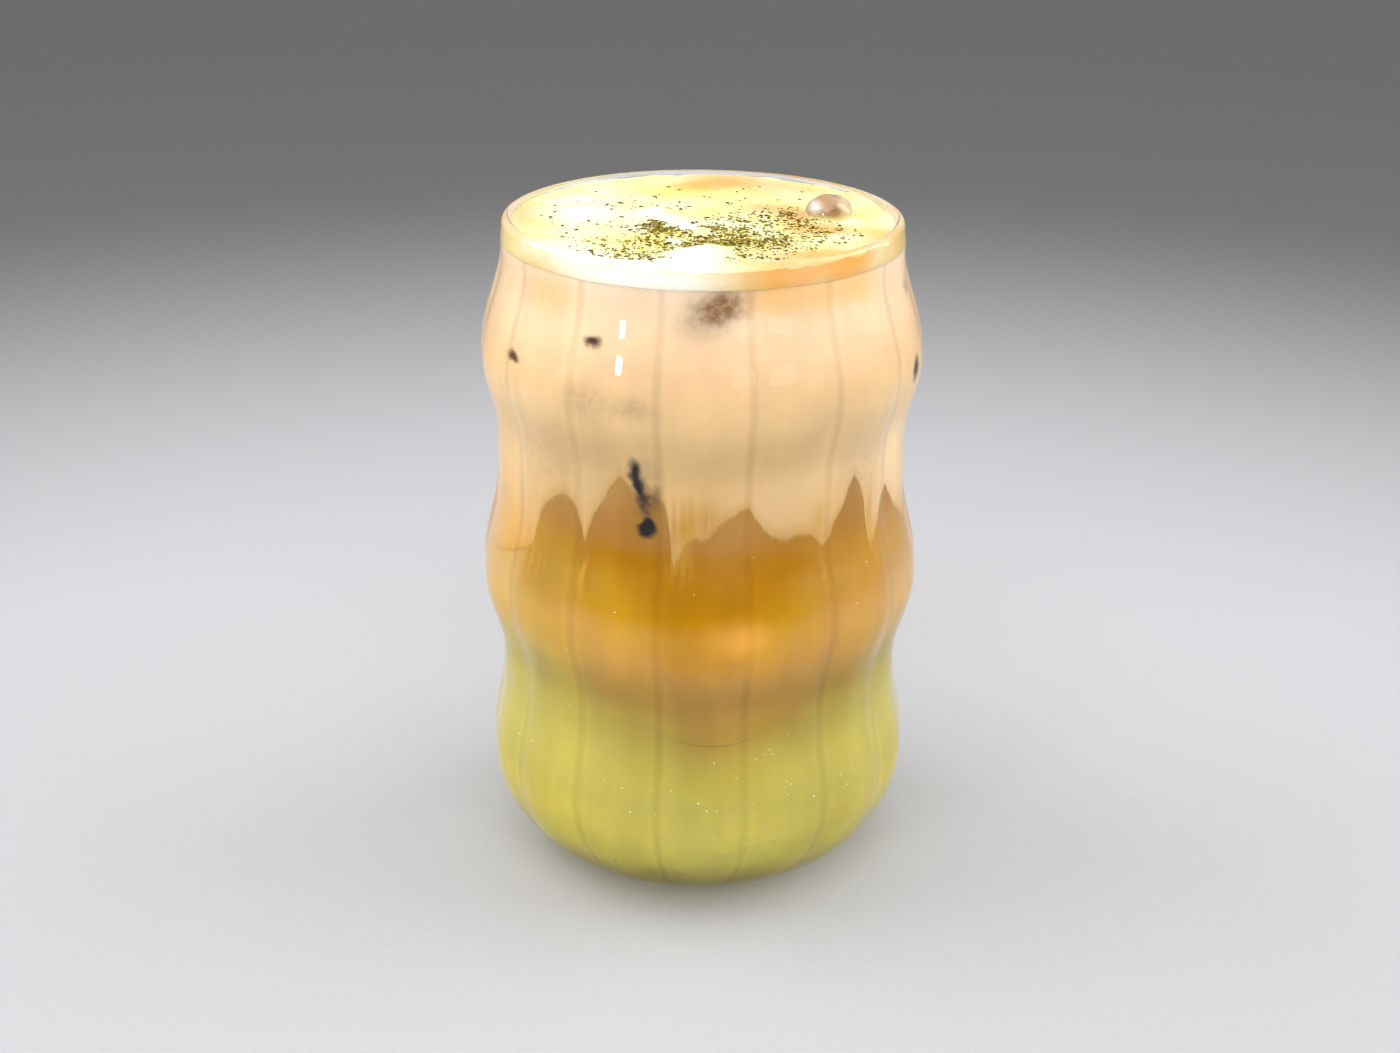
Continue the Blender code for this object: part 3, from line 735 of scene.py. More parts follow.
# Where the milk is palest: milk with little coffee, and painted light low on the upper swell's sides
MILK_PALE_AND_LIT_AREAS = (
    (22, 0.086, 0.012, 0.01, 0.35), (46, 0.091, 0.016, 0.014, 0.45), (66, 0.088, 0.014, 0.018, 0.8),
    (-66, 0.088, 0.014, 0.016, 0.25), (-47, 0.096, 0.008, 0.012, 0.25),
)

# Places where foam coffee tints the milk orange
MILK_ORANGE_AREAS = (
    (18, 0.1225, 0.009, 0.006, 0.8), (33, 0.122, 0.014, 0.007, 0.7), (48, 0.1215, 0.008, 0.006, 0.7),
    (-46, 0.1195, 0.009, 0.006, 0.45), (165, 0.119, 0.016, 0.008, 0.6),
)

# Gold strands that milk draws down through the coffee
COFFEE_GOLD_AREAS = (
    (-8, 0.079, 0.006, 0.008, 0.95), (-5, 0.073, 0.004, 0.006, 0.55), (-32, 0.07, 0.003, 0.008, 0.6),
    (35, 0.07, 0.003, 0.007, 0.4), (53, 0.07, 0.003, 0.008, 0.9), (-56, 0.068, 0.01, 0.006, 0.6),
    (160, 0.078, 0.014, 0.012, 0.6),
)

# Painted light on the coffee and matcha: they brighten between two heights where the wall faces down, and
# darken at the foot: low, high, from, to
COFFEE_PAINTED_LIGHT = (
    (0.044, 0.054, 1.0, 1.5), (0.053, 0.068, 1.0, 0.68), (0.012, 0.025, 1.85, 0.98),
    (0.005, 0.012, 0.6, 1.0),
)

# Broad tones of the amber: degrees, height, half width, half height, amount, colour
AMBER_AREAS = (
    (-3, 0.064, 0.013, 0.014, 0.9, screen(180, 127, 0)), (0, 0.057, 0.012, 0.011, 0.8, screen(190, 138, 2)),
    (9.5, 0.06, 0.008, 0.006, 0.7, screen(232, 172, 66)),
    (43, 0.066, 0.016, 0.018, 0.7, screen(193, 147, 76)),
    (-44, 0.067, 0.016, 0.018, 0.8, screen(175, 139, 58)),
    (-68, 0.068, 0.014, 0.018, 0.85, screen(204, 176, 114)),
    (68, 0.064, 0.012, 0.022, 0.7, screen(200, 164, 112)),
    (170, 0.066, 0.024, 0.016, 0.5, screen(168, 110, 20)),
)

# Thin and cloudy milk, and where ice touches the glass, painted as the shaded inside of the drink seen
# through the ice:
# degrees, height, half width, half height, tilt, edge, amount, colour
WALL_MARKS_AND_ICE_SHADE = (
    (-72, 0.119, 0.012, 0.01, 0, 1.0, 0.5, screen(210, 180, 136)),
    (-50, 0.1195, 0.014, 0.008, 0, 1.0, 0.45, screen(226, 176, 124)),
    (-42, 0.088, 0.02, 0.014, 0, 1.0, 0.45, screen(190, 166, 132)),
    (50, 0.087, 0.012, 0.012, 0, 1.0, 0.3, screen(190, 166, 132)),
    (-72, 0.0695, 0.011, 0.011, 0, 1.0, 1.0, screen(218, 180, 116)),
    (4.6, 0.1202, 0.011, 0.006, -28, 1.0, 0.8, screen(140, 124, 112)),
    (4.2, 0.1206, 0.0056, 0.004, -25, 0.9, 0.9, screen(136, 94, 40)),
    (-29.4, 0.1131, 0.0025, 0.0016, 0, 0.8, 1.0, screen(70, 46, 40)),
    (-56.4, 0.1069, 0.0032, 0.0013, 0, 0.8, 1.0, screen(88, 62, 38)),
    (72.0, 0.1025, 0.0022, 0.0032, 15, 0.8, 1.0, screen(66, 44, 42)),
    (76.0, 0.117, 0.0024, 0.0022, 15, 1.0, 0.6, screen(130, 112, 100)),
    (-14.8, 0.0893, 0.0048, 0.0056, 0, 1.0, 0.35, screen(150, 132, 116)),
    (-14.2, 0.0838, 0.0034, 0.0048, 0, 1.0, 0.85, screen(100, 80, 50)),
    (-12.4, 0.0864, 0.0024, 0.0026, 25, 1.0, 0.6, screen(96, 76, 54)),
    (-17.6, 0.0904, 0.0019, 0.004, -10, 0.8, 1.0, screen(16, 6, 6)),
    (-16.5, 0.0874, 0.0019, 0.004, -18, 0.8, 1.0, screen(16, 6, 6)),
    (-15.3, 0.0846, 0.0016, 0.0034, -26, 1.0, 0.9, screen(40, 26, 16)),
    (-14.3, 0.0799, 0.0021, 0.0027, 0, 0.5, 1.0, screen(8, 2, 2)),
    (-17.3, 0.1027, 0.0064, 0.0034, 0, 1.0, 0.36, screen(128, 114, 98)),
    (-30.0, 0.103, 0.0084, 0.006, 0, 1.0, 0.36, screen(140, 124, 104)),
)

# Coffee stains in the foam: x, y, half size along x and y, amount
FOAM_STAINS = (
    (0.0011, 0.0296, 0.011, 0.01, 0.95), (-0.003, 0.0285, 0.006, 0.008, 0.55),
    (0.0045, 0.0312, 0.01, 0.008, 0.8), (0.009, 0.0278, 0.009, 0.009, 0.45),
    (0.0125, 0.01, 0.009, 0.007, 0.7), (0.0172, 0.005, 0.006, 0.011, 0.85),
    (0.019, -0.004, 0.008, 0.006, 0.85), (0.0232, -0.0058, 0.007, 0.005, 0.85),
    (0.0325, -0.0085, 0.007, 0.011, 0.6), (0.0174, -0.023, 0.012, 0.007, 0.6),
    (0.024, -0.025, 0.012, 0.008, 0.8), (-0.0345, 0.005, 0.007, 0.014, 0.5),
)

# Thin yellow foam, and thick white lumps that ice lifts, partly painted highlights, with a painted glint by
# the ice
FOAM_YELLOWS = (
    (-0.006, 0.025, 0.015, 0.014, 0.85), (0.006, 0.022, 0.016, 0.013, 0.7),
    (-0.0004, 0.0068, 0.01, 0.009, 0.75), (0.0292, 0.004, 0.008, 0.016, 0.55),
    (-0.013, -0.018, 0.014, 0.01, 0.4), (0.01, -0.016, 0.018, 0.011, 0.6),
)
FOAM_WHITES_AND_HIGHLIGHTS = (
    (-0.0222, 0.0019, 0.009, 0.008, 0.95), (-0.001, -0.0262, 0.0088, 0.0086, 0.95),
    (-0.0098, 0.0036, 0.004, 0.0052, 0.9), (-0.0064, -0.001, 0.0036, 0.005, 0.9),
    (-0.0028, -0.0064, 0.0034, 0.005, 0.85), (-0.0053, -0.0165, 0.0024, 0.003, 1.0),
    (0.0272, 0.002, 0.0036, 0.005, 0.8), (-0.023, 0.015, 0.01, 0.008, 0.5),
)

# White foam and coffee stains on its side: degrees, height, half width, half height, amount
FOAM_SIDE_WHITES = (
    (-6, 0.1245, 0.016, 0.006, 0.85), (-24, 0.1245, 0.014, 0.006, 0.75), (-44, 0.1262, 0.016, 0.005, 0.6),
)
FOAM_SIDE_STAINS = (
    (12, 0.1245, 0.012, 0.005, 0.35), (22, 0.125, 0.011, 0.006, 0.85), (33, 0.125, 0.011, 0.006, 0.7),
    (46, 0.1255, 0.011, 0.006, 0.85), (66, 0.125, 0.014, 0.005, 0.25), (-52, 0.124, 0.014, 0.0036, 0.45),
    (-80, 0.1255, 0.016, 0.005, 0.3), (150, 0.125, 0.024, 0.005, 0.6),
)

# Powder so fine that it only tints the foam
FOAM_DUST = (
    (-0.0075, -0.014, 0.009, 0.011, 0.95), (-0.014, -0.02, 0.011, 0.009, 0.9),
    (0.007, -0.013, 0.015, 0.008, 0.85), (0.015, 0.001, 0.012, 0.01, 0.65),
    (0.02, -0.01, 0.009, 0.008, 0.55), (-0.003, 0.025, 0.013, 0.01, 0.8),
    (0.008, -0.0235, 0.011, 0.0055, 0.8), (0.03, 0.003, 0.006, 0.01, 0.3),
)


def deselect_all():
    """Clear the selection, because the model's own nodes come in selected."""
    for piece in bpy.context.selected_objects:
        piece.select_set(False)


def spun(name, points, columns):
    """Draw a line of radius and height by extruding one corner, and spin it once round the axis.

    The columns are placed so that one of them lies on a crease of the glass.
    """
    deselect_all()
    bpy.ops.mesh.primitive_plane_add(size=WALL, location=(0, 0, 0), enter_editmode=True)
    bpy.ops.mesh.merge(type="CENTER")
    bpy.ops.transform.translate(value=(points[0][0], 0, points[0][1]))
    for (radius, height), (next_radius, next_height) in zip(points, points[1:]):
        step = (next_radius - radius, 0, next_height - height)
        bpy.ops.mesh.extrude_region_move(TRANSFORM_OT_translate={"value": step})
    bpy.ops.mesh.select_all(action="SELECT")
    bpy.ops.mesh.spin(steps=columns, angle=math.tau, center=(0, 0, 0), axis=(0, 0, 1))
    bpy.ops.mesh.select_all(action="SELECT")
    bpy.ops.mesh.remove_doubles(threshold=MERGE_DISTANCE)
    bpy.ops.mesh.normals_make_consistent(inside=False)
    bpy.ops.object.mode_set(mode="OBJECT")
    piece = bpy.context.object
    piece.name = piece.data.name = name
    first_column = (CREASE_ANGLE - math.pi / 2) % (math.tau / columns)
    piece.data.transform(Matrix.Rotation(first_column, 4, "Z"))
    return piece


def dressed(piece, material, slot, *nodes):
    """Give a piece its finish and its body, and let it stand for the nodes. The slot is not used."""
    piece.data.materials.clear()
    piece.data.materials.append(material)
    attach(piece, BODY)
    if nodes:
        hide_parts(*nodes)
    return piece


def smoothed(piece, angle=50):
    """Shade a piece smooth, apart from its real edges."""
    deselect_all()
    piece.select_set(True)
    bpy.context.view_layer.objects.active = piece
    bpy.ops.object.shade_smooth_by_angle(angle=math.radians(angle))


def layer(name, faces, floor, top, proud):
    """A closed drum laid between two surfaces, and a little way into the wall."""
    columns, top_rings, rows, floor_rings = faces
    points = [(ring / top_rings, 1.0) for ring in range(top_rings)]
    points += [(1.0, 1 - row / rows) for row in range(rows)]
    points += [(ring / floor_rings, 0.0) for ring in reversed(range(floor_rings + 1))]
    piece = spun(name, points, columns)
    for vertex in piece.data.vertices:
        x, y, rise = vertex.co
        share = math.hypot(x, y)
        angle = front_angle(x, y)
        x, y, _ = round_point(angle, share * (RIM_RADIUS - WALL), 0.0)
        height = floor(x, y) * (1 - rise) + top(x, y) * rise
        vertex.co = round_point(angle, share * (inner_radius(height) + proud), height)
    piece.data.update()
    return piece


def hold(piece, name, value_at):
    """Let each point of a piece hold a value that follows from its angle and height."""
    held = piece.data.attributes.new(name, "FLOAT", "POINT")
    for vertex, slot in zip(piece.data.vertices, held.data):
        x, y, height = vertex.co
        slot.value = value_at(front_angle(x, y), height)


def off_crease(angle, height):
    """How far round an angle lies from the nearest crease, from 0 to 1."""
    return abs(math.sin((angle - CREASE_ANGLE) * FLUTE_COUNT / 2))


def coffee_line(angle):
    """The height where the coffee lies on the matcha milk, on the wall at an angle."""
    x, y, _ = round_point(angle, RIM_RADIUS, 0.0)
    return coffee_floor(x, y)


def scattered(name, template, places):
    """Join a copy of the template at each place into one piece, and remove the template."""
    corners = [vertex.co.copy() for vertex in template.data.vertices]
    faces = [tuple(face.vertices) for face in template.data.polygons]
    points, polygons = [], []
    for place in places:
        start = len(points)
        points += [place @ corner for corner in corners]
        polygons += [tuple(start + corner for corner in face) for face in faces]
    mesh = bpy.data.meshes.new(name)
    mesh.from_pydata(points, [], polygons)
    piece = bpy.data.objects.new(name, mesh)
    bpy.context.scene.collection.objects.link(piece)
    bpy.data.objects.remove(template)
    mesh.shade_smooth()
    return piece


def round_grain(subdivisions):
    """A small ball of radius 1 to scatter."""
    deselect_all()
    bpy.ops.mesh.primitive_ico_sphere_add(subdivisions=subdivisions, radius=1.0)
    return bpy.context.object


def standing(place, size, turn, stretch, tilt=0.0):
    """The matrix that puts a grain at a place, turned and stretched."""
    rotation = Matrix.Rotation(turn, 4, "Z") @ Matrix.Rotation(tilt, 4, "Y")
    return Matrix.Translation(place) @ rotation @ Matrix.Diagonal((*(size * Vector(stretch)), 1.0))


def off_ridges(x, y):
    """Whether a place lies clear of the bare ridges."""
    for start, end, half_width in BARE_RIDGES:
        run = Vector(end) - Vector(start)
        away = Vector((x, y)) - Vector(start)
        share = min(max(away.dot(run) / run.length_squared, 0.0), 1.0)
        if (away - run * share).length < half_width:
            return False
    return True


def length_setting(name, description, default):
    """A length in the panel."""
    return bpy.props.FloatProperty(name=name, description=description, default=default, unit="LENGTH")


def colour_setting(name, description, default):
    """A colour in the panel."""
    return bpy.props.FloatVectorProperty(name=name, description=description, default=default,
                                         subtype="COLOR")


def angle_setting(name, description, degrees):
    """An angle in the panel."""
    return bpy.props.FloatProperty(name=name, description=description, default=math.radians(degrees),
                                   subtype="ANGLE")


def count_setting(name, description, default, least=0):
    """A whole number in the panel."""
    return bpy.props.IntProperty(name=name, description=description, default=default, min=least)


class TumblerSettings(bpy.types.PropertyGroup):
    """Sizes and finish of the glass."""

    columns: count_setting("Columns", "How many columns of faces go round the glass", 240, 60)
    spacing: length_setting("Row spacing", "Height of one row of faces outside", 0.0008)
    inner_spacing: length_setting("Inner spacing", "Height of one row of faces inside", 0.002)
    lip_rows: count_setting("Lip rows", "Rows of faces round the lip", 12, 4)
    flute_depth: length_setting("Flute depth", "How deep the creases lie", 0.0007)
    tint: colour_setting("Tint", "Colour of the glass", (0.985, 0.99, 0.985))
    refraction: bpy.props.FloatProperty(
        name="Refraction", description="How strongly the glass bends light", default=1.5, min=1.0)


class DrinkSettings(bpy.types.PropertyGroup):
    """Colours of the layers of drink."""

    # The milk's stops also hold painted shade on the upper swell and painted light under it
    milk_top: colour_setting("Milk, top", "Milky coffee under the foam", screen(245, 221, 193))
    milk_swell: colour_setting("Milk, swell", "Milky coffee at the upper swell", screen(232, 200, 158))
    milk_middle: colour_setting("Milk, middle", "Milky coffee under the upper swell", screen(242, 211, 156))
    milk_waist: colour_setting("Milk, waist", "Milky coffee at the waist", screen(233, 202, 144))
    milk_low: colour_setting("Milk, low", "Milky coffee between the tongues", screen(230, 195, 132))
    milk_gold: colour_setting("Milk, gold", "Thin milk over coffee", screen(214, 164, 70))
    milk_pale_and_lit: colour_setting("Milk, pale", "Milk with little coffee", screen(252, 226, 188))
    milk_orange: colour_setting("Milk, orange", "Milk stained by strong coffee", screen(250, 198, 124))
    amber_tips: colour_setting("Amber, tips", "Coffee in the tips of the tongues", screen(196, 153, 80))
    amber: colour_setting("Amber", "Coffee at the tongues", screen(184, 132, 44))
    amber_deep: colour_setting("Amber, deep", "Coffee at the middle swell", screen(182, 127, 4))
    amber_glow: colour_setting("Amber, glow", "Coffee under the middle swell", screen(196, 149, 24))
    amber_low: colour_setting("Amber, low", "Coffee near the matcha", screen(194, 150, 62))
    blend_brown: colour_setting("Blend, brown", "Where coffee mixes with matcha", screen(190, 154, 54))
    blend_green: colour_setting("Blend, green", "Where matcha mixes with coffee", screen(192, 174, 74))
    matcha: colour_setting("Matcha", "Matcha milk", screen(200, 187, 86))
    matcha_foot: colour_setting("Matcha, foot", "Matcha milk at the foot", screen(202, 186, 62))


class FoamSettings(bpy.types.PropertyGroup):
    """Foam, powder, ice and bubbles."""

    relief: length_setting("Relief", "How uneven the foam is", 0.0005)
    tone: bpy.props.FloatProperty(
        name="Tone", description="How bright the foam's top is", default=0.86, min=0.0)
    white: colour_setting("White", "Foam", screen(241, 238, 200))
    cream: colour_setting("Cream", "Thinner foam", screen(240, 228, 160))
    stain: colour_setting("Stain", "Coffee in the foam", screen(228, 166, 82))
    yellow: colour_setting("Yellow", "Thinnest foam", screen(244, 228, 132))
    # Also the colour of painted highlights on the foam and of a painted glint on the ice
    white_and_glint: colour_setting("Thick", "Thick foam over ice", screen(250, 247, 240))
    dust: colour_setting("Dust", "Foam tinted by powder", screen(218, 200, 88))
    powder_dark: colour_setting("Powder, dark", "Wet powder", screen(72, 64, 2))
    powder_light: colour_setting("Powder, light", "Dry powder", screen(156, 138, 22))
    clump_dark: colour_setting("Clump, dark", "Wet clumps", screen(52, 44, 2))
    clump_light: colour_setting("Clump, light", "Drier clumps", screen(118, 102, 20))
    ice_dark: colour_setting("Ice, dark", "Ice over coffee", screen(138, 84, 20))
    ice_light: colour_setting("Ice, light", "Clouded ice", screen(222, 190, 142))
    speck_count: count_setting("Specks", "Number of specks of powder", 2200)
    bubble_count: count_setting("Bubbles", "Number of bubbles on the wall", 150)


class StageSettings(bpy.types.PropertyGroup):
    """Floor, lights and camera."""

    floor: colour_setting("Floor", "Floor under the glass", screen(184, 184, 187))
    # Painted falloff of light: the floor darkens to this away from the glass
    far_floor_shade: colour_setting("Far floor", "Floor away from the glass", screen(100, 100, 99))
    sky: colour_setting("Surroundings", "Light from the sides and behind", (0.7, 0.7, 0.71))
    horizon: colour_setting("Horizon", "Light from low down", (0.42, 0.42, 0.43))
    near_sky: colour_setting("Surroundings, front", "Light from the front", (0.14, 0.14, 0.15))
    camera_place: bpy.props.FloatVectorProperty(
        name="Camera", description="Where the camera stands", default=(0.0, -0.3921, 0.2245),
        subtype="TRANSLATION")
    camera_pitch: angle_setting("Pitch", "How far the camera looks down", 22.1)
    camera_roll: angle_setting("Roll", "How far the camera leans", 0.6)
    lens: bpy.props.FloatProperty(
        name="Lens", description="Focal length in millimetres", default=55.4)


class LATTE_OT_tumbler(bpy.types.Operator):
    """Make the rippled glass: one spun wall with its flutes pressed into the outside"""

    bl_idname = "latte.tumbler"
    bl_label = "Tumbler"

    def execute(self, context):
        settings = context.scene.latte_tumbler
        rim_radius, rim_height = RIM_RADIUS - WALL / 2, GLASS_HEIGHT - WALL / 2
        inside = belly_heights(FLOOR_THICKNESS, INNER_BELLY_ROWS)
        inside += heights_between(LOWER_SWELL_HEIGHT, rim_height, settings.inner_spacing)
        outside = belly_heights(0.0, round(LOWER_SWELL_HEIGHT / settings.spacing))
        outside += heights_between(LOWER_SWELL_HEIGHT, rim_height, settings.spacing)
        points = [(0.0, FLOOR_THICKNESS), (INNER_FOOT_RADIUS * FLOOR_RING, FLOOR_THICKNESS)]
        points += [(inner_radius(height), height) for height in inside]
        for row in range(1, settings.lip_rows):
            turn = math.pi * row / settings.lip_rows
            points.append((rim_radius - math.cos(turn) * WALL / 2, rim_height + math.sin(turn) * WALL / 2))
        points += [(outer_radius(height), height) for height in reversed(outside)]
        points += [(FOOT_RADIUS * FOOT_RING, 0.0), (0.0, 0.0)]
        glass = spun("tumbler", points, settings.columns)
        self.gather_columns(glass)
        self.press_flutes(glass, settings.flute_depth)
        smoothed(glass)
        dressed(glass, glass_finish(), "glass", "glass")
        return {"FINISHED"}

    def gather_columns(self, glass):
        """Move the columns of points closer to the creases, which then come out crisp."""
        for vertex in glass.data.vertices:
            x, y, height = vertex.co
            angle = front_angle(x, y)
            flutes = (angle - CREASE_ANGLE) * FLUTE_COUNT / math.tau
            off = flutes - round(flutes)
            gathered = math.copysign((2 * abs(off)) ** COLUMN_GATHERING / 2, off)
            angle += (gathered - off) * math.tau / FLUTE_COUNT
            vertex.co = round_point(angle, math.hypot(x, y), height)

    def press_flutes(self, glass, depth):
        """Draw the outside in towards each crease."""
        for vertex in glass.data.vertices:
            x, y, height = vertex.co
            radius = math.hypot(x, y)
            if height > GLASS_HEIGHT - PLAIN_LIP or radius < inner_radius(height) + WALL / 2:
                continue
            groove = 1 - math.hypot(off_crease(front_angle(x, y), height), CREASE_SOFTNESS)
            strength = smooth_step(*FLUTE_FADE_FOOT, height) * (1 - smooth_step(*FLUTE_FADE_RIM, height))
            share = 1 - depth * strength * max(groove, 0) / radius
            vertex.co.x *= share
            vertex.co.y *= share
        glass.data.update()


class LATTE_OT_drink(bpy.types.Operator):
    """Make the three layers of drink, each filling the glass just into its wall"""

    bl_idname = "latte.drink"
    bl_label = "Layers of drink"

    def execute(self, context):
        self.finish(self.matcha_fill(), matcha_finish, "matcha_milk", "matcha_milk",
                    over_matcha=coffee_line)
        coffee = layer("coffee_fill", COFFEE_FACES, coffee_floor,
                       lambda x, y: milk_floor(x, y) + LAYER_OVERLAP, PROUD["coffee_layer"])
        self.finish(coffee, coffee_finish, "coffee", "coffee_layer",
                    over_matcha=coffee_line, over_tongues=tongue_height)
        milk = layer("milk_fill", MILK_FACES, milk_floor, lambda x, y: FOAM_BOTTOM + LAYER_OVERLAP / 2,
                     PROUD["milk_layer"])
        self.finish(milk, milk_finish, "milk", "milk_layer", over_tongues=tongue_height)
        return {"FINISHED"}

    def matcha_fill(self):
        """The matcha milk follows the rounded bottom, and its top the coffee's floor."""
        proud = PROUD["matcha_milk"]
        base = LOWER_SWELL_HEIGHT
        rows = heights_between(base, COFFEE_BOTTOM, MATCHA_SPACING)
        belly = belly_heights(FLOOR_THICKNESS, MATCHA_BELLY_ROWS)
        points = [(RIM_RADIUS * ring / MATCHA_RINGS, COFFEE_BOTTOM) for ring in range(MATCHA_RINGS)]
        points += [(RIM_RADIUS, height) for height in reversed(rows)]
        points += [(inner_radius(height), height) for height in reversed(belly)]
        points += [(0.0, FLOOR_THICKNESS)]
        piece = spun("matcha_milk_fill", points, MATCHA_COLUMNS)
        for vertex in piece.data.vertices:
            x, y, height = vertex.co
            radius = math.hypot(x, y)
            if height > base - MERGE_DISTANCE:
                share = (height - base) / (COFFEE_BOTTOM - base)
                height = base + share * (coffee_floor(x, y) + LAYER_OVERLAP - base)
                radius *= (inner_radius(height) + proud) / RIM_RADIUS
            elif height > FLOOR_THICKNESS + MERGE_DISTANCE or radius > INNER_FOOT_RADIUS / 2:
                radius += proud
            else:
                height -= proud
            vertex.co = round_point(front_angle(x, y), radius, height)
        piece.data.update()
        return piece

    def finish(self, piece, make_finish, slot, name, **lines):
        """Let a layer hold its height over the lines it meets, then smooth and dress it."""
        for held, line in lines.items():
            hold(piece, held, lambda angle, height: height - line(angle))
        # How far each point lies from a crease, for the painted light and shade along the creases
        hold(piece, "off_crease", off_crease)
        smoothed(piece)
        dressed(piece, make_finish(), slot, name)


class LATTE_OT_foam(bpy.types.Operator):
    """Make the cap of foam, lifted in lumps by the ice below"""

    bl_idname = "latte.foam"
    bl_label = "Foam"

    def execute(self, context):
        piece = layer("foam_cap", FOAM_FACES, lambda x, y: FOAM_BOTTOM, foam_surface, PROUD["foam"])
        smoothed(piece)
        dressed(piece, foam_finish(), "foam", "foam")
        return {"FINISHED"}


class LATTE_OT_powder(bpy.types.Operator):
    """Scatter the matcha powder: larger clumps, and fine specks in drifts"""

    bl_idname = "latte.powder"
    bl_label = "Matcha powder"

    def execute(self, context):
        foam = context.scene.latte_foam
        clumps = scattered("matcha_clumps", round_grain(2), self.clump_places())
        noise.seed_set(CRUMB_SEED)
        for vertex in clumps.data.vertices:
            vertex.co += noise.noise_vector(vertex.co * CRUMB_SCALE) * CRUMB_DEPTH
        clumps.data.update()
        dressed(clumps, powder_finish("matcha_clump", foam.clump_dark, foam.clump_light), "foam")
        specks = scattered("matcha_specks", round_grain(1), self.speck_places(foam.speck_count))
        dressed(specks, powder_finish("matcha_powder", foam.powder_dark, foam.powder_light), "foam")
        return {"FINISHED"}

    def clump_places(self):
        """Where the clumps lie, each sunk a little way into the foam."""
        return [standing((x, y, foam_surface(x, y) - size * CLUMP_SINK), size, math.radians(turn),
                         CLUMP_STRETCH) for x, y, size, turn in CLUMPS]

    def speck_places(self, count):
        """Seeded places for the specks in their drifts, off the bare ridges and the ice."""
        draw = random.Random(SPECK_SEED)
        weights = [field[-1] for field in SPECK_FIELDS]
        places = []
        while len(places) < count:
            centre_x, centre_y, spread_x, spread_y, _ = draw.choices(SPECK_FIELDS, weights)[0]
            x = draw.gauss(centre_x, spread_x)
            y = draw.gauss(centre_y, spread_y)
            size = draw.uniform(*SPECK_SIZE) * draw.choice(SPECK_GROWTHS)
            turn = draw.gauss(*SPECK_TURN)
            stretch = (draw.uniform(*SPECK_LENGTH), *SPECK_GIRTH)
            on_foam = math.hypot(x, y) < (RIM_RADIUS - WALL) * SPECK_REACH
            off_ice = math.hypot(x - ICE_TIP[0], y - ICE_TIP[1]) > ICE_CLEARANCE
            if on_foam and off_ice and off_ridges(x, y):
                place = (x, y, foam_surface(x, y) + size * SPECK_LIFT)
                places.append(standing(place, size, turn, stretch, draw.uniform(*SPECK_TILT)))
        return places


class LATTE_OT_ice(bpy.types.Operator):
    """Make the melting ice cube whose rounded end stands out of the foam"""

    bl_idname = "latte.ice"
    bl_label = "Ice"

    def execute(self, context):
        deselect_all()
        bpy.ops.mesh.primitive_cube_add(size=1, enter_editmode=True)
        bpy.ops.transform.resize(value=ICE_SIZE)
        bpy.ops.mesh.bevel(offset=ICE_ROUNDING, segments=8, affect="EDGES")
        bpy.ops.mesh.select_all(action="SELECT")
        bpy.ops.mesh.subdivide(number_cuts=2, smoothness=0)
        bpy.ops.object.mode_set(mode="OBJECT")
        ice = context.object
        ice.name = ice.data.name = "melted_ice"
        middle = self.middle()
        ice.data.transform(Matrix.Translation(middle) @ ICE_TURN.to_matrix().to_4x4())
        for vertex in ice.data.vertices:
            dimple = noise.noise(vertex.co * DIMPLE_SCALE) - 0.5
            vertex.co += (vertex.co - middle).normalized() * dimple * DIMPLE_DEPTH
        ice.data.update()
        smoothed(ice, ICE_SMOOTHING)
        dressed(ice, ice_finish(), "ice", "ice_cube")
        return {"FINISHED"}

    def middle(self):
        """Where the ice's middle lies, so that its rounded top reaches the tip."""
        turned = ICE_TURN.to_matrix()
        corner = [math.copysign(side / 2 - ICE_ROUNDING, lift) for side, lift in zip(ICE_SIZE, turned[2])]
        return Vector(ICE_TIP) - Vector((0, 0, ICE_ROUNDING)) - turned @ Vector(corner)


class LATTE_OT_bubbles(bpy.types.Operator):
    """Scatter tiny bubbles where the drink meets the glass"""

    bl_idname = "latte.bubbles"
    bl_label = "Bubbles"

    def execute(self, context):
        most = context.scene.latte_foam.bubble_count
        draw = random.Random(BUBBLE_SEED)
        swarms = [self.places(draw, most // part, *where, PROUD[node_name])
                  for _, _, node_name, part, _, _, where in BUBBLES]
        for places, (name, slot, _, _, colour, pale, _) in zip(swarms, BUBBLES):
            piece = scattered(name + "_bubbles", round_grain(2), places)
            dressed(piece, bubble_finish(name + "_bubble", colour, pale), slot)
        return {"FINISHED"}

    def places(self, draw, count, middle, spread, lowest, line, gap, proud):
        """Seeded places on the drink's side, each bubble half sunk in it."""
        places = []
        while len(places) < count:
            turn = draw.uniform(-180, 180)
            height = draw.gauss(middle, spread)
            if lowest < height < line(math.radians(turn)) - gap:
                place = wall_point(turn, height, proud)
                places.append(standing(place, draw.uniform(*BUBBLE_SIZE), 0.0, (1, 1, 1)))
        return places


# Bubbles: name, slot, layer, share of the count, colours paler than the drink as painted glints, and where
# they lie on the wall:
# middle height, spread, lowest height, the line they stay under and how far under it
BUBBLE_SEED = 23
BUBBLE_SIZE = (0.0001, 0.00026)
BUBBLES = (
    ("matcha", "matcha_milk", "matcha_milk", 1, screen(216, 206, 130), screen(244, 238, 190),
     (0.026, 0.009, 0.01, coffee_line, 0.002)),
    ("coffee", "coffee", "coffee_layer", 3, screen(222, 180, 96), screen(248, 224, 170),
     (0.062, 0.006, 0.0, tongue_height, 0.004)),
)

